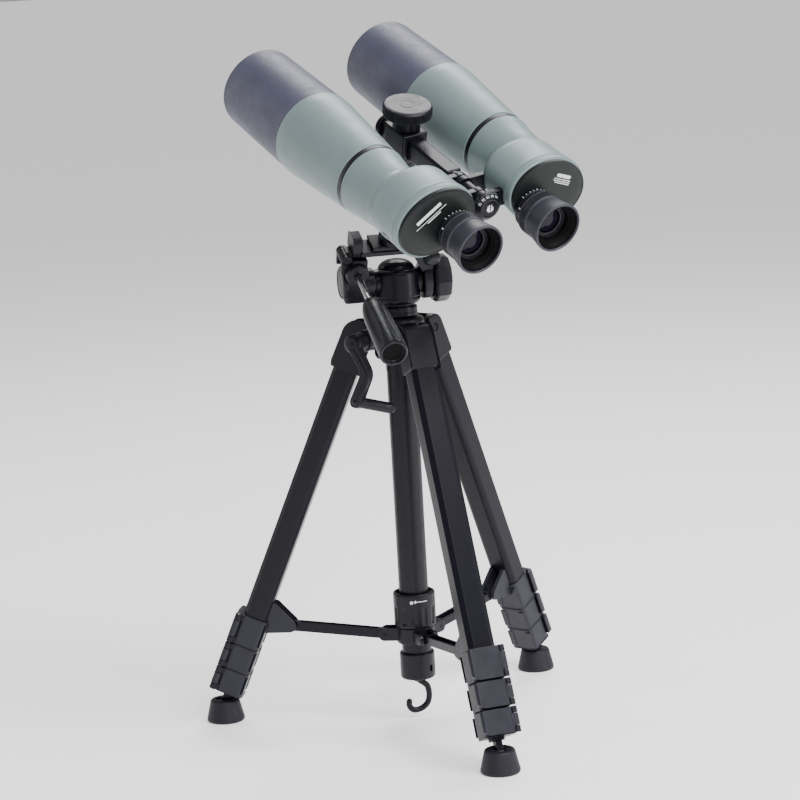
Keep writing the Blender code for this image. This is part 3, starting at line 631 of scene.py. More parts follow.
def grooves(count, depth, cut, fade, inside):
    """A lathe's swell: grooves round the part outside a radius, which fade in and out along Z."""

    def swell(turn, r, z):
        if r <= inside:
            return 0
        within = step(z, *fade[:2]) * (1 - step(z, *fade[2:]))
        return -depth * within * step(cos(turn * count), *cut)

    return swell


RIBS = 64


def focus_ring(side, word):
    """The ribbed focusing ring and the tapered eyecup that it carries."""
    ribs = grooves(RIBS, 0.75, (-0.2, 0.5), (20.2, 21.2, 27.6, 28.6), 17)
    profile = [(18.5, 30), (19.3, 29.6), (19.5, 28.8), (19.5, 27.4), (19.5, 21.4), (19.5, 20.2), (19.3, 19.4)]
    profile += [(18.5, 18.9), (18.5, 18.3), (18.9, 17.4), (19.8, 12), (21.3, 3.4), (21.45, 1.4), (21.1, 0.4)]
    profile += [(20.4, 0), (19.8, 0.2), (19.3, 1.2), (18.7, 3.4), (16.6, 6.4), (16.4, 7.6), (15.6, 7.8)]
    profile += [(14.3, 11.4), (14.3, 30)]
    where = BINOCULAR @ eye_axis(side)
    piece = Piece().add(lathe(profile, RIBS * 6, 0.2, ribs), EYECUP)
    # Painted shade: a thin near-black sheet just inside the eyecup's inner wall stands in for the shade in
    # the cup.
    painted_shade_sheet = [(19.2, 1.3), (18.6, 3.5), (16.5, 6.5), (16.3, 7.6), (15.5, 7.9), (14.25, 11.4), (13.95, 11.4)]
    painted_shade_sheet += [(15.1, 7.6), (15.9, 7.2), (16.1, 6.2), (18.3, 3.2), (19, 1.3)]
    piece.add(lathe(painted_shade_sheet, 96, 0.1), PAINTED_SHADE)
    piece.place(f"eyecup_{word}", where, f"focus_{word}", "hood_rubber", [f"focus_ring_{word}"])


for side, word in ((-1, "left"), (1, "right")):
    for make in (prism_housing, objective_tube, dew_shield, rear_cover, prism_pair, eyepiece, focus_ring):
        make(side, word)


# ---- centre bar, post and clamp knob


def text_shape(words, height):
    """Generic characters as a thin raised shape in X and Y, centred."""
    curve = bpy.data.curves.new("text", "FONT")
    curve.body = words
    curve.size = height
    curve.extrude = 0.06
    curve.align_x = curve.align_y = "CENTER"
    curve.resolution_u = 2
    drawn = linked("text", curve)
    bpy.context.view_layer.update()
    return shape_of(drawn)


def centre_bar():
    piece = Piece().add(block((-BAR_W / 2, 97, -BAR_H / 2), (BAR_W / 2, 198, BAR_H / 2), 2.2, 4), PAINT)
    piece.add(barrel(HINGE_R, 44, 98, 0.6, 72), PAINT, FORWARD)
    cap = lathe([(0, 203.5), (8.4, 203.5), (10.4, 202.6), (11, 201), (11, 197), (10, 196.4), (0, 196.4)], 72)
    piece.add(cap, PAINT, FORWARD)
    dial = [(0, 45.2), (5.6, 45.2), (6.2, 44.4), (8, 43.6), (9, 43.8), (12.3, 46.6), (12.5, 47.6)]
    dial += [(12.5, 50.2), (0, 50.5)]

    def knurl(turn, r, z):
        return -0.35 * step(cos(turn * 48), 0, 0.4) if r > 12 and z > 47 else 0

    piece.add(lathe(dial[::-1], 48 * 6, 0.25, knurl), PLASTIC, FORWARD)
    screw = carved(barrel(3.4, 43.4, 46, 0.4, 40), block((-0.5, -4, 43), (0.5, 4, 44.1), 0))
    piece.add(screw, STEEL, FORWARD)
    for k, number in enumerate(("75", "70", "65", "60", "56")):
        spoke = FORWARD @ at(rz=-150 + k * 24) @ at(x=10.6, z=45.15) @ at(rx=180, rz=90)
        piece.add(text_shape(number, 2.9), PRINT, spoke @ at(rx=-40))
    for k in range(17):
        tick = prism(rounded_box(0.28, 0.8, 0.1, 2), -0.05, 0.05, 0)
        piece.add(tick, PRINT, FORWARD @ at(rz=-150 + k * 6) @ at(x=12.42, z=46.95) @ at(ry=75, rz=90))
    piece.place("center_bar_body", BINOCULAR, "bridge", "black_plastic", ["center_bar"])


def mount_post():
    rise = BAR_RISE - PLATE_TOP
    half_w, half_h = BAR_W / 2 + 0.4, BAR_H / 2 + 0.4
    clamp = carved(
        block((-12, -15, rise - 13), (12, 15, rise + 13), 1.8, 4),
        block((-half_w, -20, rise - half_h), (half_w, 20, rise + half_h), 1),
        barrel(4.3, rise, rise + 20, 0),
    )
    piece = Piece().add(clamp, PLASTIC)
    stem = [(0, rise - 11), (8, rise - 11), (9.6, rise - 13), (10, rise - 18), (10, 12), (11, 9.5), (14.5, 7)]
    stem += [(17.6, 5.4), (18, 4.4), (18, 0.4), (17.6, 0.3), (0, 0.3)]
    piece.add(lathe(stem, 96, 1.2), PLASTIC)
    for face in (-1, 1):
        piece.add(barrel(2.6, 0, 1.4, 0.4, 32), STEEL, at(face * 11.4, 8, rise - 9, ry=face * 90))
    piece.place("mount_post_body", POST, "mount", "black_plastic", ["mount_post"])


def clamp_knob():
    rise = BAR_RISE - PLATE_TOP
    flutes = grooves(60, 0.55, (0.1, 0.7), [rise + up for up in (25.4, 26.4, 32.6, 33.6)], 20)
    disc = [(0, 34.5), (8, 34.7), (17, 34.9), (19.6, 34.4), (20.8, 33.4), (21, 32.2), (21, 26.6)]
    disc += [(20.6, 25.2), (19.4, 24.5), (12.6, 24.3), (11.8, 23.6), (11.8, 13.4), (4, 13.3), (4, 9.6)]
    disc += [(0, 9.6)]
    piece = Piece().add(lathe([(r, rise + up) for r, up in disc], 360, 0.5, flutes), PLASTIC)
    piece.add(ring_of(6.4, 5.6, rise + 34.5, rise + 34.85, 0.1, 64), PLASTIC)
    piece.place("clamp_knob_disc", POST, "clamp_knob", "black_plastic", ["post_clamp_knob"])


centre_bar()
mount_post()
clamp_knob()


# ---- pan head


def pan_body():
    """A domed barrel on a wide neck, with the tilt shaft through it."""
    low = CROWN_TOP + 0.3 - TILT_Z
    profile = [(0, 20), (4, 19.8), (8, 19), (11.6, 17.4), (14.4, 15.2), (15.6, 13), (16, 11.2), (18.2, 10.4)]
    profile += [(19.6, 9.2), (BODY_R, 7.2), (BODY_R, -12.4), (19.9, -12.8), (19.9, -13.3), (BODY_R, -13.7)]
    profile += [(BODY_R, -16), (19.4, -17.6), (18, -18.7), (15.2, -19), (15, -20), (15.2, -21), (16.6, -21.5)]
    profile += [(17, -22.4), (17, -26), (16.7, -26.3), (17, -26.6), (17, low), (8.3, low), (8.3, -9.5)]
    profile += [(0, -9.5)]
    piece = Piece().add(lathe(profile, 128, 0.5), PAINT)
    piece.add(barrel(4, -34, 29, 0.5, 32), STEEL, ALONG_X)
    piece.add(barrel(11.5, -21.1, 21.1, 0.8, 64), PAINT, ALONG_X)
    piece.place("pan_body_shell", PAN_FRAME, "pan_body", "black_paint", ["pan_body"])


def tilt_yoke():
    """Left block with the handle socket, right drum, a bridge over the body and the flip hinge's ears."""
    bore = moved(barrel(4.4, -34.5, 60, 0, 32), ALONG_X)
    socket = moved(barrel(3.3, -7, 24, 0, 32), HANDLE_PLACE)
    well = moved(barrel(6.2, -6.7, 6.7, 0, 40), FLIP @ FORWARD)
    left = carved(block((-48.5, -12, -13), (-29, 12, 25), 3), bore.copy(), socket.copy(), well.copy())
    piece = Piece().add(left, PLASTIC)
    piece.add(carved(block((-43, -11.5, 20), (-29.5, 11.5, 30), 1), well.copy()), PLASTIC)
    piece.add(carved(moved(barrel(13.5, -32, -21.4, 1, 64), ALONG_X), bore.copy()), PLASTIC)
    boss = [(3.4, 4), (8.4, 4), (9.6, 3.4), (10, 2.2), (10, -2.8), (3.4, -2.8)]
    piece.add(lathe(boss, 64, 0.5), PLASTIC, HANDLE_PLACE)
    disc = [(0, 4.2), (10.6, 4.2), (11.2, 3.7), (12.4, 3.7), (13.2, 4.4), (14.2, 3.8), (14.5, 2.8)]
    disc += [(14.5, 0), (0, 0)]
    piece.add(lathe(disc, 96, 0.3), PLASTIC, at(x=-46, z=3) @ at(ry=-90))
    piece.add(block((-32.5, -4, 29), (28, 11, 33.2), 0.9), PLASTIC)
    gusset = soften([(10, -32), (21.4, -12), (29.6, -12), (29.6, -32)], 1.5, True)
    piece.add(prism(gusset, -9, 9, 0.9), PLASTIC, at(rx=-90))
    drum = [(4.5, 30), (15.4, 30), (16.7, 29.4), (DRUM_R, 28.2), (DRUM_R, 22.8), (16.4, 21.5), (4.5, 21.4)]
    piece.add(lathe(drum, 96, 0.5), PLASTIC, ALONG_X)
    for start, end in ((-10.5, -6.5), (6.5, 10.5)):
        ear = block((FLIP_X - 4.6, start, 18), (FLIP_X + 4.6, end, FLIP_Z), 0.6)
        piece.add(carved(ear, socket.copy()), PLASTIC)
        piece.add(barrel(5, start, end, 0.6, 40), PLASTIC, FLIP @ FORWARD)
        cap = start - 0.6 if start < 0 else end - 0.4
        piece.add(barrel(2.2, cap, cap + 1, 0.3, 24), PAINT, FLIP @ FORWARD)
    piece.place("tilt_yoke_body", TILT_FRAME, "tilt_yoke", "black_plastic", ["tilt_yoke"])


def platform():
    """The thin bed with its side wall, hinge knuckle and lock knob, and the loose plate on top."""
    piece = Piece().add(block((-36, -12, BED_LOW), (32, 12, BED_HIGH), 1.2), PLASTIC)
    piece.add(block((FLIP_X, -6.2, FLIP_Z + 0.5), (-33, 6.2, 36)), PLASTIC)
    piece.add(barrel(5, -6.2, 6.2, 0.4, 40), PLASTIC, FLIP @ FORWARD)
    wall = soften([(-10, 35.5), (10, 35.5), (10, 45), (7.5, 50), (-7.5, 50), (-10, 45)], 1.6, True)
    piece.add(prism(wall, -43, -34, 1.1), PLASTIC, at(ry=90) @ at(rz=90))

    def ribs(turn, r, z):
        return -0.4 * step(cos(turn * 20), 0, 0.7) if r > 7 and 4 < z < 9 else 0

    knob = [(0, 11), (4.4, 11), (6.4, 10.3), (7.6, 8.4), (7.6, 4.6), (6.8, 3.4), (2.4, 1), (2, 0), (2, -3)]
    knob += [(0, -3)]
    piece.add(lathe(knob, 160, 0.5, ribs), PLASTIC, KNOB_PLACE)
    piece.place("camera_platform_body", TILT_FRAME, "platform", "black_plastic", ["camera_platform"])
    slab = Piece().add(block((-26, -12, BED_HIGH + 0.3), (28, 12, PLATE_TOP), 1.2), PLASTIC)
    for k in range(9):
        low = (-23.5 + k * 5.6, -10.6, PLATE_TOP - 0.3)
        slab.add(block(low, (low[0] + 3, 10.6, PLATE_TOP + 0.15), 0.1), GRIP)
    slab.place("release_plate_slab", TILT_FRAME, "release_plate", "black_plastic", ["quick_release_plate"])


def handle():
    """Chrome rod, and a grip with long scalloped flutes."""
    start, end = 46, ROD_LENGTH + GRIP_LENGTH
    rod = Piece().add(barrel(3, -6, start + 6, 0.5, 40), STEEL)
    rod.add(barrel(4, start - 4, start + 1, 0.5, 40), STEEL)
    rod.place("handle_rod", TILT_FRAME @ HANDLE_PLACE, "pan_handle")

    def scallops(turn, r, z):
        along = (z - start - 9) / (end - start - 14)
        if r < 4 or not 0 < along < 1:
            return 0
        width = sin(pi * along) ** 0.7
        ridge = cos(5 * turn + 0.6)
        return -1.5 * width * step(ridge, 1.05 - 1.3 * width, 1.05)

    profile = [(0, end - 3.5), (8.4, end - 3.5), (9.2, end - 2.6), (9.6, end - 0.6), (10.4, end)]
    profile += [(11.5, end - 0.4), (12.1, end - 1.6)]
    profile += [(12.2 - 0.7 * (k / 16) ** 2, end - 4 - 48 * k / 16) for k in range(17)]
    profile += [(11.2, start + 22), (10.6, start + 16), (9.6, start + 10), (8.3, start + 5)]
    profile += [(6.8, start + 1), (5.6, start), (0, start)]
    grip = Piece().add(lathe(profile, 240, 0.4, scallops), GRIP)
    # Painted shade: a near-black disc on the floor of the grip's end recess.
    grip.add(barrel(8.6, end - 3.9, end - 3.3, 0.1), PAINTED_SHADE)
    grip.place("handle_grip", TILT_FRAME @ HANDLE_PLACE, "pan_handle", "hood_rubber", ["pan_handle"])


def tilt_knob():
    """Ten-sided grip on the right end of the tilt shaft, narrowing towards its outer face."""
    facets = 10

    def flats(turn, r, z):
        if r < 17.2 or z < 32:
            return 0
        share = (turn * facets / tau) % 1 - 0.5
        return r * (0.975 / cos(share * tau / facets) - 1)

    profile = [(0, 44.4), (10.6, 44.4), (12, 45), (13, 46), (17, 46), (18.6, 45.6), (19.7, 44.4), (20.4, 41)]
    profile += [(20.6, 34), (20.2, 32.4), (19, 31), (17.8, 30.4), (0, 30.3)]
    piece = Piece().add(lathe(profile, 240, 0.4, flats), PLASTIC)
    piece.add(ring_of(8, 7, 44.2, 44.8, 0.15), PLASTIC)
    where = TILT_FRAME @ ALONG_X
    piece.place("tilt_knob_body", where, "tilt_knob", "black_plastic", ["tilt_knob"], smooth=24)


pan_body()
tilt_yoke()
platform()
handle()
tilt_knob()


# ---- crown, column and crank


def crown():
    """Crown with its three leg lugs, the guide tube and the lower cup."""
    top = CROWN_TOP
    profile = [(11.4, top), (13.6, top), (14, top - 0.8), (18.6, top - 0.9), (21.4, 362), (CROWN_R, 359.6)]
    profile += [(CROWN_R, 331), (21.4, 328), (17, 325.8), (GUIDE_R, 325), (GUIDE_R, 62.4), (15, 62)]
    profile += [(15.5, 61), (15.5, 40), (14.6, 38.4), (12, 38), (3.6, 38), (3.6, 43), (11.4, 43)]
    boss_place = at(rz=CRANK_AZIMUTH) @ at(z=CRANK_Z) @ ALONG_X
    bore = moved(barrel(3.6, 24, 90, 0, 32), boss_place)
    notch = moved(block((12, -1.6, 45), (20, 1.6, 51), 0.4), at(rz=-38))
    piece = Piece().add(carved(lathe(profile, 128, 0.8), bore, notch), PLASTIC)
    for azimuth in LEG_AZIMUTHS:
        turn = at(rz=azimuth)
        across = turn @ at(x=LEG_PIVOT_R, z=LEG_PIVOT_Z) @ at(rx=90)
        piece.add(block((18, -6.5, LEG_PIVOT_Z - 7), (LEG_PIVOT_R, 6.5, LEG_PIVOT_Z + 7), 1), PLASTIC, turn)
        piece.add(barrel(7.5, -6.5, 6.5, 0.5, 56), PLASTIC, across)
        piece.add(barrel(3.1, -12.7, 12.7, 0.6, 36), PAINT, across)
    end = CRANK_PLANE - 14.2
    collar = [(9.5, 20), (9.5, CRANK_PLANE - 14.8), (8.9, end), (3.6, end), (3.6, 20)]
    piece.add(lathe(collar, 64, 0.3), PLASTIC, boss_place)
    for k in range(2):
        piece.add(ring_of(9.8, 9.3, 38 + 7 * k, 39.2 + 7 * k, 0.2, 64), PLASTIC, boss_place)
    piece.add(ring_of(13.35, 12.9, 316, 325.4, 0.3), PLASTIC)
    piece.place("crown_body", STAND, "stand", "black_plastic", ["crown"])


def column():
    """Centre column with its rack teeth."""
    profile = [(0, 383), (7.6, 383), (8, 382.6), (8, CROWN_TOP + 0.3), (10.6, CROWN_TOP)]
    profile += [(COLUMN_R, CROWN_TOP - 0.6), (COLUMN_R, 75.5), (10.6, 75), (9.2, 75), (9.2, 352), (0, 352)]
    piece = Piece().add(lathe(profile, 96, 0.3), PAINT)
    turn = at(rz=CRANK_AZIMUTH)
    pitch, teeth = 3.2, 68
    for k in range(teeth):
        tooth = block((10.2, -2.6, 130 + k * pitch), (11.15, 2.6, 131.6 + k * pitch), 0)
        piece.add(tooth, PLASTIC, turn)
    piece.place("column_tube", STAND, "column", "black_paint", ["center_column"])


def crank():
    """Axle, disc, dogleg arm and a grip folded in towards the column."""
    plane, arm = CRANK_PLANE, CRANK_ARM
    piece = Piece().add(barrel(3.3, 32, plane - 10, 0.3, 32), STEEL)
    disc = [(0, plane + 2.2), (5.5, plane + 2.2), (8.2, plane + 1), (8.5, plane - 1)]
    disc += [(8.5, plane - 13.2), (8.1, plane - 13.7), (0, plane - 13.7)]
    piece.add(lathe(disc, 64), PLASTIC)
    bend, elbow = 13.5, arm * 0.5
    outline = [(-7, 1), (bend - 5.5, -elbow + 1), (-5.4, -arm + 1), (-4.6, -arm - 3.6), (0, -arm - 5.6)]
    outline += [(4.8, -arm - 3), (bend + 5, -elbow), (7, -1), (4, 6), (-4, 6)]
    piece.add(prism(soften(outline, 6, True, 6), plane - 2, plane + 2.4, 0.9, 3), PLASTIC)
    inner = soften([(-3, -4), (bend - 1.6, -elbow + 0.5), (-0.4, -arm + 4), (2.4, -arm + 4.6),
                    (bend + 1.6, -elbow), (2.6, -4)], 3, True, 4)
    piece.add(prism(inner, plane + 2.2, plane + 3, 0.3), PLASTIC)
    knob_end = (23, -arm - 7, plane - 17)
    piece.add(pipe([(0, -arm, plane - 1.5), knob_end], 4.8, 32), GRIP)
    for y in (0, -arm):
        piece.add(barrel(2.3, plane + 1, plane + 2.9, 0.4, 32), PAINT, at(y=y))
    piece.place("crank_handle", CRANK, "crank", "black_plastic", ["crank"])


# ---- spreader, collar and hook


def brace_hub():
    ring = [(16.4, HUB_HIGH), (17, HUB_HIGH - 0.8), (17, HUB_LOW + 0.8), (16.4, HUB_LOW), (13.4, HUB_LOW)]
    piece = Piece().add(lathe([*ring, (13.4, HUB_HIGH)], 96, 0.4), PLASTIC)
    for azimuth in LEG_AZIMUTHS:
        turn = at(rz=azimuth)
        across = turn @ at(x=HUB_PIN_R, z=HUB_Z) @ at(rx=90)
        for edge in (-1, 1):
            ear = [(14.5, -5), (HUB_PIN_R, -5), *arc(5, -80, 80, 14, x=HUB_PIN_R), (HUB_PIN_R, 5), (14.5, 5)]
            shape = prism(ear, edge * 7 - 1.7, edge * 7 + 1.7)
            piece.add(shape, PLASTIC, turn @ at(z=HUB_Z) @ at(rx=90))
        piece.add(barrel(2, -9.1, 9.1, 0.5, 28), PAINT, across)
    piece.place("brace_hub_ring", STAND, "brace_hub", "black_plastic", ["brace_hub"])


def lock_collar():
    """Fluted clamping collar with a plain padlock and arrow."""
    flutes = grooves(12, 0.9, (-0.1, 0.9), (88.5, 91, 103, 106), 18)
    low, top, outer = HUB_HIGH + 0.3, COLLAR_TOP, 18.6
    profile = [(16.2, top), (17.6, top), (18.4, top - 0.6), (outer, top - 2), (outer, 106.5), (outer, 104)]
    profile += [(outer, 91), (outer, low + 2), (18.2, low + 0.5), (17.4, low), (13.4, low), (13.4, top - 5)]
    profile += [(15.8, top - 2.6)]
    piece = Piece().add(lathe(profile, 288, 0.4, flutes), PLASTIC)
    padlock, arrow = -96, -82

    def stick(outline, turn, height):
        place = at(rz=turn) @ at(x=18.62, z=height) @ at(rx=90, rz=90)
        piece.add(prism(outline, -0.1, 0.08, 0), PRINT, place)

    stick(rounded_box(2.6, 2.1, 0.4), padlock, 110.2)
    stick(arc(1.05, 0, 180, 12) + [(x * 0.6, y * 0.6) for x, y in arc(1.05, 180, 0, 12)], padlock, 111.1)
    for k in range(9):
        stick(rounded_box(1.25, 0.7, 0.1), arrow + k * 3.6, 110.9)
    stick([(-1.6, 0), (1, 1.5), (1, -1.5)], arrow - 4.5, 110.9)
    piece.place("lock_collar_body", STAND, "lock_collar", "black_plastic", ["lock_collar"])


def weight_hook():
    bend = ((0, 44), (0, 36), (4.5, 32), (8, 28), (9, 20), (7, 13), (1, 8.5), (-6, 8), (-9.5, 12), (-9.5, 16))
    piece = Piece().add(pipe([(x, 0, z) for x, z in bend], 2.7, 24, 8), PLASTIC)
    piece.add(barrel(6, 43.3, 46, 0.5, 40), PLASTIC)
    piece.add(lathe([(0, 37.6), (3.4, 37.6), (4.4, 36.6), (4.4, 34.8), (3, 34), (0, 34)], 40, 0.4), PLASTIC)
    piece.place("hook_body", STAND @ at(rz=15), "hook", "black_paint", ["weight_hook"])


def leg_pin():
    """Radius and height of the brace pin on a leg."""
    lean = radians(LEG_LEAN)
    out = LEG_PIVOT_R + LEG_PIN_DOWN * sin(lean) - LEG_PIN_IN * cos(lean)
    up = LEG_PIVOT_Z - LEG_PIN_DOWN * cos(lean) - LEG_PIN_IN * sin(lean)
    return out, up


def brace(number, azimuth):
    """A pressed channel with round ends and a pin at each."""
    out, up = leg_pin()
    rise = degrees(atan2(up - HUB_Z, out - HUB_PIN_R))
    length = hypot(out - HUB_PIN_R, up - HUB_Z)
    bar = prism(slab_end(length, 3.8), -4.5, 4.5, 0.6, 3)
    trough = block((7.5, -0.6, -3.4), (length - 6.5, 6, 3.4), 0.5)
    piece = Piece().add(carved(bar, trough, barrel(2.3, -9, 9, 0, 28)), PAINT)
    for edge in (-1, 1):
        low = 3.9 if edge > 0 else -5.0
        piece.add(barrel(1.9, low, low + 1.1, 0.35, 28), PAINT, at(x=length))
    where = STAND @ at(rz=azimuth) @ at(x=HUB_PIN_R, z=HUB_Z) @ at(ry=-rise) @ at(rx=90)
    piece.place(f"brace_{number}_bar", where, f"brace_{number}", "black_paint", [f"brace_{number}"])


crown()
column()
crank()
brace_hub()
lock_collar()
weight_hook()


# ---- legs


def section_size(level):
    """Outer width and depth of a nested section; level 0 is the upper leg."""
    less = 2 * (WALL + 0.3)
    return TUBE_W - less * level, TUBE_D - less * level


def leg_outline(width, depth, inset=0.0):
    """A tube with a flat front panel between two bevels, and a round back."""
    w, d = width / 2 - inset, depth / 2 - inset
    corner = min(5.5, w * 0.45)
    points = [(-w * 0.62, d), (w * 0.62, d), (w * 0.66, d - 0.35), (w, d - 3.4)]
    points += [(x + w - corner, y - d + corner) for x, y in arc(corner, 0, -90, 8)]
    points += [(x - w + corner, y - d + corner) for x, y in arc(corner, -90, -180, 8)]
    points += [(-w, d - 3.4), (-w * 0.66, d - 0.35)]
    return points


def tube(level, top, bottom):
    width, depth = section_size(level)
    outer = leg_outline(width, depth)
    inner = leg_outline(width, depth, WALL)
    rings = [[(x, y, z) for x, y in outline] for outline, z in
             ((outer, -top), (outer, -bottom), (inner, -bottom), (inner, -top))]
    return skin(rings, loop=True)


def add_lock(piece, level):
    """Flip-lock housing round the lower end, with grip ribs, two knuckles and their pin."""
    start, end = LOCK_STARTS[level], LOCK_ENDS[level]
    width, depth = section_size(level)
    hx, hy = LOCK_HINGE
    shape = moved(prism(rounded_box(27, 25.6, 5.5, 8), -end, -start, 0.9, 3), at(x=-0.5))
    passage = prism(leg_outline(width, depth, WALL * 0.5), -end - 2, -start + 2, 0)
    relief = moved(barrel(3.7, -end + 6, -start - 6, 0, 40), at(x=hx, y=hy))
    piece.add(carved(shape, passage, relief), SHADE)
    for low, high in ((start + 0.5, start + 6), (end - 6, end - 0.5)):
        piece.add(barrel(3.2, -high, -low, 0.4, 40), PLASTIC, at(x=hx, y=hy))
        piece.add(block((-14.8, 9, -high), (-11.5, 13.4, -low), 0.4), PLASTIC)
    piece.add(barrel(1.2, -end + 0.3, -start - 0.3, 0.2, 20), STEEL, at(x=hx, y=hy))
    for edge in (-1, 1):
        rib = block((edge * 10 - 3, -13.3, -end + 3), (edge * 10 + 3, -12.4, -start - 3), 0.3)
        piece.add(rib, SHADE)


def upper_leg(leg, number):
    """Round-shouldered bracket, tube, brace cheeks and the first flip lock."""
    piece = Piece().add(tube(0, BRACKET_END - 6, LOCK_ENDS[0] - 3), PAINT)
    sides = [(-11.7, -BRACKET_END), (11.7, -BRACKET_END), (12.6, -BRACKET_END + 3), (12, -2)]
    sides += arc(12, 0, 180, 20) + [(-12, -2), (-11.7, -BRACKET_END + 2)]
    shoulder = moved(prism(sides, -13, 13, 2.4, 4), at(rx=90, rz=90))
    slot = block((-6.9, -20, -20), (6.9, 8.6, 30))
    pin = moved(barrel(3.6, -20, 20, 0, 32), ALONG_X)
    throat = block((-6.9, -20, -22), (6.9, 8.4, 30), 0)
    piece.add(carved(shoulder, slot, throat, pin), PLASTIC)
    panel = soften([(-8, -4), (8, -4), (8.6, -BRACKET_END + 4), (-8.6, -BRACKET_END + 4)], 3, True)
    piece.add(prism(panel, -12.35, -12.0, 0.15), PLASTIC, at(rx=90))
    for edge in (-1, 1):
        pin_in, pin_up = -LEG_PIN_IN, -LEG_PIN_DOWN
        cheek = [(-11, 15 - LEG_PIN_DOWN), (-11, -15 - LEG_PIN_DOWN), (pin_in - 1.5, pin_up - 4.5)]
        cheek += [(pin_in - 5, pin_up), (pin_in - 1.5, pin_up + 4.5)]
        start, end = sorted((edge * 5.2, edge * 8))
        outline = soften(cheek[::-1], 3, True, 4)
        piece.add(prism(outline, start, end), SHADE, at(rx=90) @ at(ry=90))
    add_lock(piece, 0)
    piece.place(f"leg_{number}_upper_tube", leg, f"leg_{number}", "black_paint", [f"leg_{number}_upper"])


def lower_sections(leg, number):
    tops = (95, 110, 125)
    for level in (1, 2):
        piece = Piece().add(tube(level, tops[level - 1], LOCK_ENDS[level] - 3), PAINT)
        add_lock(piece, level)
        name = f"leg_{number}_section_{level + 1}"
        piece.place(name + "_tube", leg, name, "black_paint", [name])
    width, depth = section_size(3)
    tip = Piece().add(prism(leg_outline(width, depth), -ANKLE + 10, -tops[2], 0.6), PAINT)
    tip.add(block((-3, -3.8, -ANKLE), (3, 3.8, -ANKLE + 14), 0.7), PAINT)
    tip.add(barrel(4, -3, 3, 0.4, 40), PAINT, at(z=-ANKLE) @ ALONG_X)
    tip.add(barrel(1.6, -6, 6, 0.3, 24), PAINT, at(z=-ANKLE) @ ALONG_X)
    name = f"leg_{number}_section_4"
    tip.place(name + "_tip", leg, name, "black_paint", [name])


def lever(leg, number, level):
    """A bowed lever plate that wraps the outer face, with a round lower corner and a hinge tab."""
    start, end = LOCK_STARTS[level - 1], LOCK_ENDS[level - 1]
    middle = (start + end) / 2
    tall = end - start
    bow = [(2.2, 1.6)] + [(2.4 + 24 * k / 12, 2.5 + 0.6 * sin(pi * k / 12)) for k in range(13)]
    bow += arc(3.4, 68, 0, 6, x=26.8, y=-0.8)
    bow += [(30.2, -3.2), (29.5, -4), (28.3, -4), (27.6, -3.2), (27.6, -1.8), (26.4, -0.7), (2.2, -0.7)]
    wrap = prism(bow[::-1], -end + 0.8, -start - 0.8, 0)
    low, high = -tall / 2 + 0.8, tall / 2 - 0.8
    face = arc(8, -90, 0, 8, x=23, y=low + 8) + arc(3, 0, 90, 6, x=28, y=high - 3) + [(-2, high), (-2, low)]
    mask = moved(prism(face, -20, 20, 0), at(z=-middle) @ at(rx=90))
    reliefs = [barrel(3.75, *span, 0, 40) for span in ((-start - 6.3, -start + 1), (-end - 1, -end + 6.3))]
    plate = carved(carved(wrap, mask, operation="INTERSECT"), *reliefs)
    piece = Piece().add(plate, SHADE)
    tab = block((-1, -0.7, -end + 6.4), (4, 2.9, -start - 6.4), 0.5)
    piece.add(carved(tab, barrel(1.6, -end - 1, -start + 1, 0, 24)), SHADE)
    knuckle = lathe([(3.3, -start - 6.4), (3.3, -end + 6.4), (1.6, -end + 6.4), (1.6, -start - 6.4)], 40, 0.4)
    piece.add(knuckle, SHADE)
    name = f"leg_{number}_lever_{level}"
    where = leg @ at(x=LOCK_HINGE[0], y=LOCK_HINGE[1])
    piece.place(name + "_plate", where, name, "black_plastic", [name], edge=0.35)


def foot(leg, number):
    """Rubber foot with a domed top, a slot for the leg's tongue and a lip at the ground."""
    base = -(LEG_PIVOT_Z - ANKLE * cos(radians(LEG_LEAN)))
    top = base + FOOT_H
    profile = [(0, top), (10.6, top), (12.4, top - 0.5), (13.2, top - 1.8), (16.6, base + 4)]
    profile += [(FOOT_R, base + 2.6), (FOOT_R, base + 1.4), (16.4, base), (13, base), (12.4, base + 0.8)]
    profile += [(0, base + 0.8)]
    slots = [block((-3.4, -8, -6), (3.4, 8, 20), 0.6), block((-6.5, -2, -2), (6.5, 2, 20), 0.5)]
    piece = Piece().add(carved(lathe(profile), *slots), FOOT)
    name = f"leg_{number}_foot"
    piece.place(name + "_rubber", leg @ at(z=-ANKLE) @ at(rx=-LEG_LEAN), name, "foot_rubber", [name])


for number, azimuth in enumerate(LEG_AZIMUTHS, 1):
    leg = STAND @ at(rz=azimuth - 90) @ at(y=LEG_PIVOT_R, z=LEG_PIVOT_Z) @ at(rx=LEG_LEAN)
    brace(number, azimuth)
    upper_leg(leg, number)
    lower_sections(leg, number)
    for level in (1, 2, 3):
        lever(leg, number, level)
    foot(leg, number)


# ---- floor, light and camera


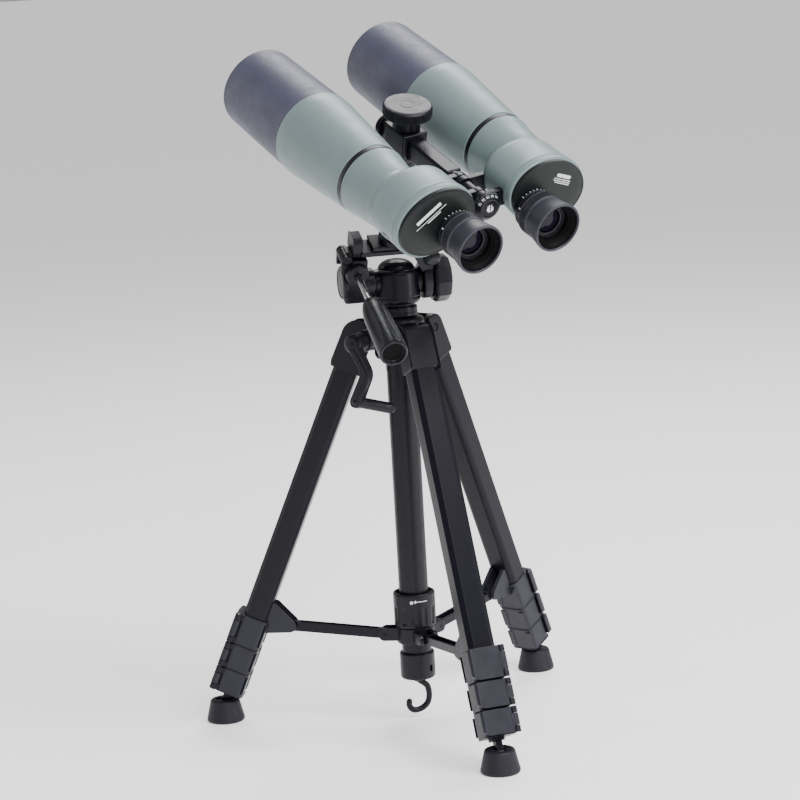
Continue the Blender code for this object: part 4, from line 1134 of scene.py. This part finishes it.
def stage_floor():
    mesh = bpy.data.meshes.new("floor")
    wide = 30
    corners = [(-wide, -wide, 0), (wide, -wide, 0), (wide, wide, 0), (-wide, wide, 0)]
    mesh.from_pydata(corners, [], [(0, 1, 2, 3)])
    made = Nodes("floor")
    made.fill(made.shader, {
        "Base Color": (0.93, 0.93, 0.94, 1), "Roughness": 0.9,
        "Emission Color": (1, 1, 1, 1), "Emission Strength": 0.5,
    })
    mesh.materials.append(made.material)
    floor = linked("floor", mesh)


def soft_light(name, where, target, power, width, height):
    light = bpy.data.lights.new(name, "AREA")
    light.shape = "RECTANGLE"
    light.size, light.size_y = width, height
    light.energy = power
    lamp = linked(name, light)
    lamp.location = where
    lamp.rotation_mode = "QUATERNION"
    lamp.rotation_quaternion = (Vector(target) - Vector(where)).to_track_quat("-Z", "Y")


def camera():
    """A long lens in front of the eyepieces, a little above them, as the object was photographed."""
    data = bpy.data.cameras.new("camera")
    data.sensor_width = 36
    data.lens = 120.04
    data.shift_x, data.shift_y = -0.0167, -0.0019
    data.clip_start, data.clip_end = 0.1, 100
    lens = linked("camera", data)
    right = Vector((0.99836, 0.01900, -0.05400))
    down = Vector((-0.04978, -0.17759, -0.98284))
    ahead = Vector((-0.02826, 0.98392, -0.17635))
    turn = Matrix((right, -down, -ahead)).transposed().to_4x4()
    lens.matrix_world = STAND @ at(75.06, -2296.4, 701.32) @ turn
    bpy.context.scene.camera = lens


stage_floor()
world = bpy.data.worlds.new("studio")
world.use_nodes = True
background = world.node_tree.nodes["Background"]
background.inputs["Color"].default_value = (1, 1, 1, 1)
background.inputs["Strength"].default_value = 0.38
bpy.context.scene.world = world
CENTRE = (AXIS.x, AXIS.y, 0.35)
soft_light("key", (1.1, -0.9, 2.0), CENTRE, 44, 0.9, 0.9)
soft_light("back", (0.3, 1.3, 2.1), (0, 0, 0.5), 42, 1.4, 1.0)
soft_light("right_strip", (1.6, -0.5, 0.8), CENTRE, 12, 0.3, 1.6)
soft_light("front_strip", (0.55, -1.6, 1.25), CENTRE, 16, 0.35, 1.2)
soft_light("left_strip", (-1.7, 0.5, 0.9), CENTRE, 6, 0.3, 1.6)
camera()
